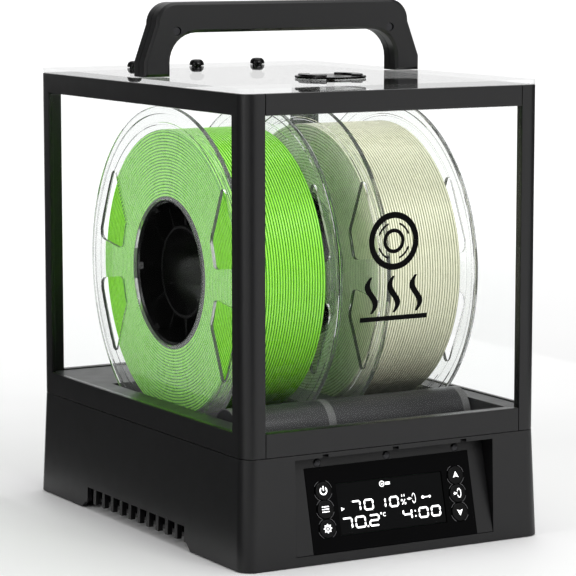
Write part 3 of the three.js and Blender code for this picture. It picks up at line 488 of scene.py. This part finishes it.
def make_world():
    """A plain sky, bright from the right and above and dim from the left."""
    world = bpy.data.worlds.new("studio")
    bpy.context.scene.world = world
    world.use_nodes = True
    tree = world.node_tree
    tree.nodes.clear()
    coordinates = tree.nodes.new("ShaderNodeTexCoord")
    split = tree.nodes.new("ShaderNodeSeparateXYZ")
    tree.links.new(coordinates.outputs["Generated"], split.inputs["Vector"])
    total = tree.nodes.new("ShaderNodeMath")
    for index, (axis, values) in enumerate(SKY_RAMPS.items()):
        ramp = tree.nodes.new("ShaderNodeMapRange")
        ramp.interpolation_type = "SMOOTHSTEP"
        for key, value in values.items():
            ramp.inputs[key].default_value = value
        tree.links.new(split.outputs[axis], ramp.inputs["Value"])
        tree.links.new(ramp.outputs["Result"], total.inputs[index])
    background = tree.nodes.new("ShaderNodeBackground")
    tree.links.new(total.outputs["Value"], background.inputs["Strength"])
    output = tree.nodes.new("ShaderNodeOutputWorld")
    tree.links.new(background.outputs["Background"], output.inputs["Surface"])


def make_studio():
    make_camera()
    make_floor()
    make_flags()
    make_world()
    for name, (place, spot_height, size, watts) in LIGHTS.items():
        softbox(name, place, (0, 0, spot_height), size, watts)
    scene = bpy.context.scene
    scene.view_settings.view_transform = "Standard"
    scene.cycles.use_denoising = True
    scene.cycles.caustics_refractive = False
    scene.cycles.caustics_reflective = False
    scene.cycles.sample_clamp_indirect = 1.4
    scene.cycles.max_bounces = 16
    scene.cycles.transparent_max_bounces = 24
    scene.cycles.transmission_bounces = 12


make_studio()

# ------------------------------------------------------------------ built pieces

AXES = {
    "x": (Vector((0, 1, 0)), Vector((0, 0, 1)), Vector((1, 0, 0))),
    "y": (Vector((0, 0, 1)), Vector((1, 0, 0)), Vector((0, 1, 0))),
    "z": (Vector((1, 0, 0)), Vector((0, 1, 0)), Vector((0, 0, 1))),
    "face": (RIGHT, UP_FACE, OUTWARD),
}


def revolved(name, outline, centre, axis, material, steps=96, wobble=None, angle=35.0):
    """Turns a closed outline of (radius, along) pairs about an axis through centre."""
    first, second, along_axis = AXES[axis]
    on_axis = [radius < 1e-7 for radius, _ in outline]
    bm = bmesh.new()
    rings = []
    for step in range(steps):
        turn = 2 * math.pi * step / steps
        out = first * math.cos(turn) + second * math.sin(turn)
        ring = []
        for index, (radius, along) in enumerate(outline):
            if wobble and not on_axis[index]:
                radius, along = wobble(index, turn, radius, along)
            ring.append(bm.verts.new(centre + out * radius + along_axis * along))
        rings.append(ring)
    count = len(outline)
    closed = count if not (on_axis[0] and on_axis[-1]) else count - 1
    for step in range(steps):
        here, there = rings[step], rings[(step + 1) % steps]
        for index in range(closed):
            following = (index + 1) % count
            bm.faces.new((here[index], here[following], there[following], there[index]))
    bmesh.ops.remove_doubles(bm, verts=bm.verts, dist=1e-7)
    bmesh.ops.recalc_face_normals(bm, faces=bm.faces)
    mesh = bpy.data.meshes.new(name)
    bm.to_mesh(mesh)
    bm.free()
    return new_object(name, mesh, material, angle)


def add_prism(bm, points, origin, axis, low, high):
    """One closed prism over a flat outline, into an open bmesh."""
    first, second, along = AXES[axis]
    ends = []
    for level in (low, high):
        ends.append([bm.verts.new(origin + first * x + second * y + along * level) for x, y in points])
    count = len(points)
    faces = [bm.faces.new(ends[0][::-1]), bm.faces.new(ends[1])]
    for index in range(count):
        following = (index + 1) % count
        faces.append(bm.faces.new(
            (ends[0][index], ends[0][following], ends[1][following], ends[1][index])))
    bmesh.ops.recalc_face_normals(bm, faces=faces)


def prisms(name, outlines, origin, axis, low, high, material):
    """Several flat outlines, extruded between two levels into one piece."""
    bm = bmesh.new()
    for points in outlines:
        add_prism(bm, points, origin, axis, low, high)
    mesh = bpy.data.meshes.new(name)
    bm.to_mesh(mesh)
    bm.free()
    return new_object(name, mesh, material)


def carve(piece, cutter):
    """Cuts one closed mesh out of a piece."""
    modifier = piece.modifiers.new("cut", "BOOLEAN")
    modifier.operation = "DIFFERENCE"
    modifier.solver = "EXACT"
    modifier.object = cutter
    apply_modifiers(piece)
    bpy.data.objects.remove(cutter)


def circle(radius, count, centre=(0.0, 0.0)):
    """A polygon of count points on a circle."""
    return [(centre[0] + radius * math.cos(2 * math.pi * i / count),
             centre[1] + radius * math.sin(2 * math.pi * i / count)) for i in range(count)]


def band(radius, width, start, stop, centre=(0.0, 0.0), squeeze=1.0, count=24):
    """A bent strip of a ring between two angles in degrees."""
    points = []
    for reach, order in ((radius + width / 2, 1), (radius - width / 2, -1)):
        for step in range(count + 1)[::order]:
            turn = math.radians(start + (stop - start) * step / count)
            points.append((centre[0] + squeeze * reach * math.cos(turn),
                           centre[1] + reach * math.sin(turn)))
    return points


def bar(x0, y0, x1, y1):
    """A rectangle between two opposite corners."""
    return [(x0, y0), (x1, y0), (x1, y1), (x0, y1)]

# ------------------------------------------------------------------ spools


PITCH = 1.75 * MM  # filament diameter, so also the winding's pitch
RIDGE = [(0.0, 0.0), (0.12, 0.65), (0.3, 0.92), (0.5, 1.0), (0.7, 0.92), (0.88, 0.65)]
RIDGE_DEPTH = 0.7 * MM
WINDING_STEPS = 144
TURN_DRIFT = 0.05  # mm by which a turn may lie deeper, and how far it wanders round the spool
TURN_WANDER = 0.03 * MM
LAST_PHASE = 6.28
HUB_R = 45.8 * MM
FLANGE_BORE_R = 43.6 * MM
RIM_R = 95.5 * MM  # inner edge of the raised rim
RIM_STEP = 0.9 * MM
GROOVE_R = 90.0 * MM
GROOVE_WIDTH = 1.0 * MM
GROOVE_DEPTH = 0.25 * MM
SOFT_EDGE = 0.35 * MM
# Window in a flange: middle and half depth along the radius, then its run, then its corners.
WINDOW_R = 75.5 * MM
WINDOW_HALF = 15.5 * MM
WINDOW_HALF_RUN = 20.0 * MM
WINDOW_CORNER = 5.5 * MM
WINDOW_START = 8.0  # degrees from the spoke's middle
WINDOW_STOP = 26.0  # degrees at the inner edge
WINDOW_SLANT = 15.0  # degrees more at the outer edge
CORNER_STEPS = 6
WINDOW_SPOTS = {
    "front_up": lambda angle: math.pi - angle,
    "front_low": lambda angle: math.pi + angle,
    "rear_up": lambda angle: angle,
    "rear_low": lambda angle: -angle,
}


def winding_outline(inner, outer, half):
    """Section of a full winding: ridges up one side, across the outside and down the other.

    Gives the points, the turn that each belongs to, and how high on its ridge each lies.
    """
    side_turns = int((outer - inner) / PITCH)
    wide_turns = int(2 * half / PITCH)
    side_pitch = (outer - inner) / side_turns
    wide_pitch = 2 * half / wide_turns
    stretches = (
        ("low", side_turns, lambda run, sunk: (inner + run * side_pitch, -half + sunk)),
        ("wide", wide_turns, lambda run, sunk: (outer - sunk, -half + run * wide_pitch)),
        ("high", side_turns, lambda run, sunk: (outer - run * side_pitch, half - sunk)),
    )
    points = [(inner, -half + RIDGE_DEPTH)]
    marks = [None]
    rises = [0.0]
    for stretch, turns, place in stretches:
        for turn in range(turns):
            for share, rise in RIDGE:
                points.append(place(turn + share, RIDGE_DEPTH * (1 - rise)))
                marks.append((stretch, turn))
                rises.append(rise)
    points.append((inner, half - RIDGE_DEPTH))
    marks.append(None)
    rises.append(0.0)
    return points, marks, rises


def make_winding(side, material):
    """A full winding whose turns each lie slightly off the next."""
    node = f"spool_{side}_filament"
    centre, halves = placed(node)
    points, marks, rises = winding_outline(HUB_R, halves.z, halves.x)
    rng = random.Random(SEED + len(side))
    offsets = {}
    for mark in sorted({mark for mark in marks if mark}):
        offsets[mark] = (rng.uniform(-TURN_DRIFT, TURN_DRIFT) * MM, rng.uniform(0, LAST_PHASE))

    def wobble(index, turn, radius, along):
        if marks[index] is None:
            return radius, along
        rise, phase = offsets[marks[index]]
        drift = rise + TURN_WANDER * math.sin(2 * turn + phase)
        if marks[index][0] == "wide":
            return radius - abs(drift), along
        return radius, along - abs(drift) * (1 if along > 0 else -1)

    piece = revolved(node + "_wound", points, centre, "x", material, WINDING_STEPS, wobble, 80.0)
    attribute = piece.data.attributes.new(RISE, "FLOAT", "POINT")
    attribute.data.foreach_set("value", rises * WINDING_STEPS)
    settle(piece, f"spool_{side}", f"filament_{'green' if side == 'left' else 'cream'}", node)


def window_outline(spot):
    """Opening in a flange: radial on the spoke side, slanting on the far side, corners rounded."""
    points = []
    for sign_u, sign_v, start in ((1, 1, 0), (-1, 1, 90), (-1, -1, 180), (1, -1, 270)):
        for step in range(CORNER_STEPS + 1):
            turn = math.radians(start + 90 * step / CORNER_STEPS)
            u = sign_u * (WINDOW_HALF - WINDOW_CORNER) + WINDOW_CORNER * math.cos(turn)
            v = sign_v * (WINDOW_HALF_RUN - WINDOW_CORNER) + WINDOW_CORNER * math.sin(turn)
            stop = WINDOW_STOP + WINDOW_SLANT * (u + WINDOW_HALF) / (2 * WINDOW_HALF)
            share = (v + WINDOW_HALF_RUN) / (2 * WINDOW_HALF_RUN)
            angle = WINDOW_SPOTS[spot](math.radians(WINDOW_START + (stop - WINDOW_START) * share))
            radius = WINDOW_R + u
            points.append((radius * math.cos(angle), radius * math.sin(angle)))
    return points


def make_flange(side, place):
    """A clear flange with a raised rim, a fine groove inside it and four windows."""
    node = f"spool_{side}_flange_{place}"
    centre, halves = placed(node)
    outer, half = halves.z, halves.x
    facing = 1 if (side == "right") == (place == "outer") else -1
    front, back = facing * half, -facing * half
    lower = facing * (half - RIM_STEP)
    soft, groove = facing * SOFT_EDGE, lower + facing * GROOVE_DEPTH
    outline = [
        (FLANGE_BORE_R, back), (outer - SOFT_EDGE, back), (outer, back + soft),
        (outer, front - soft), (outer - SOFT_EDGE, front), (RIM_R, front),
        (RIM_R - SOFT_EDGE, lower), (GROOVE_R + SOFT_EDGE, lower), (GROOVE_R, groove),
        (GROOVE_R - GROOVE_WIDTH, groove), (GROOVE_R - GROOVE_WIDTH - SOFT_EDGE, lower),
        (FLANGE_BORE_R + SOFT_EDGE, lower), (FLANGE_BORE_R, lower - soft),
    ]
    piece = revolved(node + "_moulded", outline, centre, "x", FLANGE, 160)
    outlines = [window_outline(spot) for spot in WINDOW_SPOTS]
    carve(piece, prisms("cutter", outlines, centre, "x", -4 * half, 4 * half, FLANGE))
    smooth(piece, 30.0)
    settle(piece, f"spool_{side}", "clear_flange", node)


DRUM_WALL = (42.0 * MM, HUB_R - 0.5 * MM)  # inner and outer radius
SLEEVE_WALL = (26.2 * MM, 28.4 * MM)
DRUM_CHAMFER = 0.8 * MM
SLEEVE_CHAMFER = 0.6 * MM
HALF_WEB = 3.0 * MM
SLEEVE_RECESS = 9.0 * MM  # from the drum's end to the sleeve's
RIB_COUNT = 12
RIB_HALF_WIDTHS = (1.2 * MM, 0.8 * MM)  # by turns
RIB_RECESS = 1.5 * MM  # from the sleeve's end to the rib's
RIB_OVERLAP = 0.4 * MM
HOOK_COUNT = 6
HOOK_HALF_WIDTH = 2.2 * MM
HOOK_RECESS = 1.4 * MM
# A snap hook's section: how far out from the drum's wall, and along from its place near the end.
HOOK_SECTION = [(0.2 * MM, -9.0 * MM), (-2.2 * MM, -2.5 * MM), (-2.2 * MM, -1.0 * MM), (0.2 * MM, 1.2 * MM)]


def add_lump(bm, centre, turn, section, half_width):
    """A convex lump at an angle about X, of (along X, radius) points, into an open bmesh."""
    outward = Vector((0, math.cos(turn), math.sin(turn)))
    across = Vector((0, -math.sin(turn), math.cos(turn)))
    corners = []
    for along, radius in section:
        for side in (-1, 1):
            corners.append(bm.verts.new(
                centre + Vector((along, 0, 0)) + outward * radius + across * half_width * side))
    bmesh.ops.convex_hull(bm, input=corners)


def make_hub(side):
    """Dark drum with a recessed web, an inner sleeve, ribs between them and snap hooks."""
    node = f"spool_{side}_hub"
    centre, halves = placed(node)
    half = halves.x
    drum_in, drum_out = DRUM_WALL
    sleeve_in, sleeve_out = SLEEVE_WALL
    sleeve_half = half - SLEEVE_RECESS
    sleeve_flat = sleeve_half + SLEEVE_CHAMFER
    outline = [
        (drum_out, -half), (drum_out, half), (drum_in + DRUM_CHAMFER, half), (drum_in, half - DRUM_CHAMFER),
        (drum_in, HALF_WEB), (sleeve_out, HALF_WEB), (sleeve_out, sleeve_half),
        (sleeve_out - SLEEVE_CHAMFER, sleeve_flat), (sleeve_in, sleeve_flat),
        (sleeve_in, -sleeve_flat), (sleeve_out - SLEEVE_CHAMFER, -sleeve_flat),
        (sleeve_out, -sleeve_half), (sleeve_out, -HALF_WEB), (drum_in, -HALF_WEB),
        (drum_in, DRUM_CHAMFER - half), (drum_in + DRUM_CHAMFER, -half),
    ]
    drum = revolved(node + "_drum", outline, centre, "x", HUB, 96)
    bm = bmesh.new()
    rib_half = sleeve_half - RIB_RECESS
    rib_section = [(along, radius) for along in (-rib_half, rib_half)
                   for radius in (sleeve_out - RIB_OVERLAP, drum_in + RIB_OVERLAP)]
    for index in range(RIB_COUNT):
        turn = math.radians(360 / RIB_COUNT * index + 90)
        add_lump(bm, centre, turn, rib_section, RIB_HALF_WIDTHS[index % 2])
    for index in range(HOOK_COUNT):
        turn = math.radians(360 / HOOK_COUNT * (index + 1))
        for end in (-1, 1):
            section = [(end * (half + along - HOOK_RECESS), drum_in + out) for out, along in HOOK_SECTION]
            add_lump(bm, centre, turn, section, HOOK_HALF_WIDTH)
    mesh = bpy.data.meshes.new(node + "_ribs")
    bm.to_mesh(mesh)
    bm.free()
    ribs = new_object(node + "_ribs", mesh, HUB)
    settle(drum, f"spool_{side}", "hub_black", node)
    settle(ribs, f"spool_{side}", "hub_black")


def make_spools():
    for side, material in (("left", GREEN), ("right", CREAM)):
        make_winding(side, material)
        make_hub(side)
        for place in ("outer", "inner"):
            make_flange(side, place)


# ------------------------------------------------------------------ rollers


ROLLER_END = 80.0 * MM
SHAFT_R = 3.0 * MM
SHAFT_CHAMFER = 0.4 * MM
ROLLER_ROUNDING = {"front": 1.2 * MM, "rear": 0.8 * MM}
ROUNDING_STEPS = 4
GRIP_HALF_WIDTH = 2.5 * MM
GRIP_RISE = 0.12 * MM
GRIP_SINK = 0.4 * MM


def make_roller(place):
    """A roller and its shaft, turned in one piece, with rounded ends."""
    node = f"{place}_roller"
    centre, halves = placed(node)
    radius, end, soft = halves.z, halves.x, ROLLER_ROUNDING[place]
    half_line = [(0.0, end), (SHAFT_R - SHAFT_CHAMFER, end), (SHAFT_R, end - SHAFT_CHAMFER),
                 (SHAFT_R, ROLLER_END)]
    for step in range(ROUNDING_STEPS + 1):
        turn = math.radians(90 * step / ROUNDING_STEPS)
        half_line.append((radius - soft * (1 - math.sin(turn)), ROLLER_END - soft * (1 - math.cos(turn))))
    outline = half_line + [(r, -along) for r, along in reversed(half_line)]
    piece = revolved(node + "_turned", outline, centre, "x", ROLLER, 96)
    settle(piece, node, "roller_black", node)


def make_grips():
    """Thin sleeves on the front roller, under three of the flanges."""
    centre, halves = placed("front_roller")
    inside, outside, half = halves.z - GRIP_SINK, halves.z + GRIP_RISE, GRIP_HALF_WIDTH
    outline = [(inside, -half), (outside - GRIP_RISE, -half), (outside, GRIP_RISE - half),
               (outside, half - GRIP_RISE), (outside - GRIP_RISE, half), (inside, half)]
    for side, place in (("left", "outer"), ("left", "inner"), ("right", "outer")):
        at = Vector((placed(f"spool_{side}_flange_{place}")[0].x, centre.y, centre.z))
        grip = revolved(f"front_roller_grip_{side}_{place}", outline, at, "x", GRIP, 96)
        settle(grip, "front_roller", "roller_black")


def make_rollers():
    make_roller("front")
    make_roller("rear")
    make_grips()


# ------------------------------------------------------------------ display


SEGMENTS = {
    "0": "abcdef", "1": "bc", "2": "abged", "4": "fgbc", "7": "abc",
}


# The screen's digits, in millimetres on the leaning face: character, lower left corner, width, height.
STROKE = 1.05
DIGITS = [
    ("7", -27.0, 21.6, 6.4, 6.6), ("0", -18.6, 21.6, 6.6, 6.6),
    ("1", -7.6, 21.6, 4.0, 6.4), ("0", -1.4, 21.6, 6.4, 6.4),
    ("7", -34.3, 12.1, 7.0, 7.0), ("0", -25.6, 12.1, 7.2, 7.0), ("2", -16.3, 12.1, 7.2, 7.0),
    ("4", 6.7, 13.3, 6.6, 6.5), ("0", 17.6, 13.3, 6.8, 6.5), ("0", 26.1, 13.3, 6.8, 6.5),
]
READOUT_DROP = 24.0 * MM  # from the screen's middle down to where those millimetres start
READOUT_LIFT = 1.02 * MM  # from the screen's middle out to its front
DECIMAL_POINT = (-17.3, 12.6)
COLON = ((15.4, 15.0), (15.4, 18.0))


def segment_digit(character, x, y, width, height, stroke):
    """Outlines of one seven-segment digit whose lower left corner is at x, y."""
    gap = 0.12 * stroke
    half = stroke / 2
    mid = y + height / 2

    def flat(level):
        x0, x1 = x + half + gap, x + width - half - gap
        return [(x0, level), (x0 + half, level - half), (x1 - half, level - half), (x1, level),
                (x1 - half, level + half), (x0 + half, level + half)]

    def upright(at, y0, y1):
        y0, y1 = y0 + gap, y1 - gap
        return [(at, y0), (at + half, y0 + half), (at + half, y1 - half), (at, y1),
                (at - half, y1 - half), (at - half, y0 + half)]

    left, right = x + half, x + width - half
    bottom, top = y + half, y + height - half
    shapes = {
        "a": flat(top), "g": flat(mid), "d": flat(bottom),
        "f": upright(left, mid, top), "b": upright(right, mid, top),
        "e": upright(left, bottom, mid), "c": upright(right, bottom, mid),
    }
    return [shapes[segment] for segment in SEGMENTS[character]]


def humidity_sign():
    """A slash between two rings, under two short strokes."""
    return [
        band(0.5, 0.32, 0, 350, (7.2, 25.0)), band(0.5, 0.32, 0, 350, (9.4, 23.0)),
        [(9.2, 25.6), (9.6, 25.3), (7.4, 22.3), (7.0, 22.6)],
        bar(7.2, 27.0, 7.7, 28.3), bar(8.8, 27.0, 9.3, 28.3),
    ]


def turning_sign():
    """An open ring with an arrow into it, and a bar between two dots."""
    return [
        band(2.7, 0.6, 205, 515, (15.4, 25.4), 0.42), [(12.0, 24.6), (14.2, 25.4), (12.0, 26.2)],
        bar(10.9, 25.1, 12.2, 25.7),
        circle(0.95, 16, (21.6, 25.3)), circle(0.75, 16, (26.4, 25.3)), bar(21.6, 25.0, 26.4, 25.6),
    ]


def spool_sign():
    """A small spool and its strand."""
    return [band(1.5, 0.5, 0, 355, (-5.0, 35.8)), circle(0.5, 12, (-5.0, 35.8)), bar(-2.6, 35.0, 0.4, 36.6)]


def readouts():
    """Outlines of all the digits and signs on the screen."""
    shapes = []
    for digit in DIGITS:
        shapes += segment_digit(*digit, STROKE)
    shapes.append(circle(0.55, 12, DECIMAL_POINT))
    shapes += [circle(0.5, 12, dot) for dot in COLON]
    degree = band(0.5, 0.3, 0, 350, (-7.8, 19.0))
    celsius = band(0.95, 0.42, 50, 310, (-5.5, 18.2))
    pointer = [(-33.8, 23.0), (-31.6, 24.1), (-33.8, 25.2)]
    return shapes + [degree, celsius] + humidity_sign() + turning_sign() + spool_sign() + [pointer]


def gear_shapes():
    """A cog of eight teeth, each from its corners' angles off the tooth's middle and their radii."""
    corners = ((-0.17, 1.7), (-0.12, 2.7), (0.12, 2.7), (0.17, 1.7))
    teeth = [[(math.cos(middle + off) * radius, math.sin(middle + off) * radius) for off, radius in corners]
             for middle in (math.pi / 4 * index for index in range(8))]
    return [band(1.7, 0.7, 0, 355), circle(0.55, 14)] + teeth


# Signs on the keys, in millimetres from each cap's middle.
KEY_SIGNS = {
    "key_power": [band(2.1, 0.75, -230, 50), bar(-0.35, 0.0, 0.35, 2.7)],
    "key_menu": [bar(x, y, x + reach, y + 0.62) for y in (-1.75, -0.3, 1.15)
                 for x, reach in ((-2.3, 0.7), (-1.2, 3.5))],
    "key_settings": gear_shapes(),
    "key_up": [[(-1.9, -1.4), (0, -0.7), (1.9, -1.4), (0, 2.2)]],
    "key_rotate": [band(2.5, 0.7, -155, 155, (0.9, 0), 0.5), [(-2.4, -0.9), (-0.1, 0.0), (-2.4, 0.9)],
                   bar(-2.9, -0.3, -2.2, 0.3)],
    "key_down": [[(-1.9, 1.4), (0, 0.7), (1.9, 1.4), (0, -2.2)]],
}


KEY_REACH = 2.6 * MM  # from a key's middle to its front, 0.6 mm proud of the panel
KEY_PROUD = 0.6 * MM
KEY_HIGHLIGHT_ARCS = ((12, 66), (114, 150), (195, 240), (300, 340))  # grey arcs around each key, painted as the rims' highlights, in degrees
KEY_HIGHLIGHT_R = 5.95
KEY_HIGHLIGHT_WIDTH = 0.22
# A key's section from its stem to its dished face: radius, and height from the top of its lip, in mm.
KEY_SECTION = [
    (0.0, -5.2), (2.0, -5.2), (2.0, -2.6), (5.3, -2.6), (5.3, -0.45), (5.22, -0.2), (5.08, -0.05),
    (4.9, 0.0), (4.72, -0.05), (4.6, -0.2), (4.4, -0.24), (0.0, -0.16),
]


def in_metres(shapes):
    """Outlines in millimetres, as outlines in metres."""
    return [[(x * MM, y * MM) for x, y in points] for points in shapes]


def make_key_highlights():
    """Grey arcs on the panel around each key: painted highlights for the keys' rims catching the light."""
    arcs = in_metres([band(KEY_HIGHLIGHT_R, KEY_HIGHLIGHT_WIDTH, start, stop, count=12) for start, stop in KEY_HIGHLIGHT_ARCS])
    for node in KEY_SIGNS:
        centre = placed(node)[0] + OUTWARD * (KEY_REACH - KEY_PROUD)
        piece = prisms(node + "_painted_highlight", arcs, centre, "face", -0.05 * MM, 0.07 * MM, KEY_HIGHLIGHT_PAINT)
        settle(piece, "base", "panel_black")


def make_keys():
    """Round caps with a lip and a lit sign on each."""
    outline = [(radius * MM, height * MM) for radius, height in KEY_SECTION]
    for node, signs in KEY_SIGNS.items():
        top = placed(node)[0] + OUTWARD * KEY_REACH
        cap = revolved(node + "_cap", outline, top, "face", KEY, 64)
        settle(cap, node, "key_black", node)
        sign = prisms(node + "_sign", in_metres(signs), top, "face", -0.1 * MM, 0.03 * MM, GLOW)
        settle(sign, node, "lit_white")


def make_display():
    origin = placed("lcd_screen")[0] + OUTWARD * READOUT_LIFT - UP_FACE * READOUT_DROP
    digits = prisms("readout", in_metres(readouts()), origin, "face", -0.02 * MM, 0.06 * MM, GLOW)
    settle(digits, "base", "lit_white")
    make_keys()


# ------------------------------------------------------------------ printed pictogram


WINDOW_SIGN_X = -1.5 * MM
WINDOW_SIGN_Z = 182.0 * MM  # the middle of its ring


def wave(x, low, high, width, swing, count=24):
    """A wavy upright stroke, thinner towards its ends."""
    left, right = [], []
    for step in range(count + 1):
        share = step / count
        y = low + (high - low) * share
        middle_x = x + swing * math.sin(2 * math.pi * share)
        taper = width * (0.35 + 0.65 * math.sin(math.pi * share))
        left.append((middle_x - taper / 2, y))
        right.append((middle_x + taper / 2, y))
    return left + right[::-1]


def make_print():
    """A plain spool over three heat waves, printed on the front window. Millimetres from its ring."""
    origin = Vector((WINDOW_SIGN_X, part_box("window_front")[0].y, WINDOW_SIGN_Z))
    shapes = [band(14.8, 3.6, 0, 359.9, count=72), band(6.0, 2.2, 0, 359.9, count=48)]
    shapes += [band(10.4, 1.1, start, start + 50) for start in (20, 110, 200, 290)]
    shapes += [wave(x, -41.0, -20.0, 4.4, 2.6) for x in (-15.0, 0.0, 15.0)]
    shapes.append(bar(-22.5, -45.5, 22.5, -42.8))
    # The axis "y" reads up first and then across.
    upright = in_metres([[(y, x) for x, y in points] for points in shapes])
    piece = prisms("window_sign", upright, origin, "y", -0.12 * MM, 0.02 * MM, PRINT)
    settle(piece, "cover", "body_black")


# ------------------------------------------------------------------ housings and frames


def make_shells():
    """Finer copies of the mouldings, panels and sheets."""
    for node in ("base_housing", "display_bezel", "frame_left", "frame_right"):
        refined(node, BODY, "body_black")
    for place in ("front", "back"):
        for level in ("top", "bottom"):
            refined(f"rail_{place}_{level}", BODY, "body_black", 0.3 * MM)
    for half in ("handle_front", "handle_back"):
        refined(half, BODY, "body_black", 0.3 * MM)
    refined("deck_tray", DECK, "deck_black")
    for node in ("outlet_left", "outlet_centre", "outlet_right", "vent_dial"):
        refined(node, FITTING, "body_black", 0.2 * MM)
    refined("display_panel", PANEL, "panel_black", 0.15 * MM)
    refined("lcd_screen", LCD, "lcd_black", 0.1 * MM)
    for side in ("left", "right", "front", "back"):
        refined(f"window_{side}", WINDOW, "clear_acrylic", 0.3 * MM)
    refined("top_plate", TOP_SHEET, "clear_acrylic", 0.3 * MM)


def dress_the_rest():
    """Better materials on the CAD nodes that stay."""
    places = [f"{row}_{side}" for row in ("front", "rear") for side in ("left", "right")]
    looks = {
        BODY: ["bottom_plate"],
        FAN: ["fan_frame", "fan_rotor", "power_inlet"],
        BOARD: ["control_board"],
        HEATER: ["heater_core"],
        NYLON: ["roller_gear", "motor_gear"] + [f"bush_{place}" for place in places],
        RUBBER: [f"foot_{place}" for place in places],
        STEEL: ["drive_motor"],
        SCREW: ["display_screw_left", "display_screw_centre", "display_screw_right",
                "handle_screw_left", "handle_screw_right"],
    }
    for material, nodes in looks.items():
        for node in nodes:
            dress(node, material)


make_shells()
make_spools()
make_rollers()
make_display()
make_key_highlights()
make_print()
dress_the_rest()
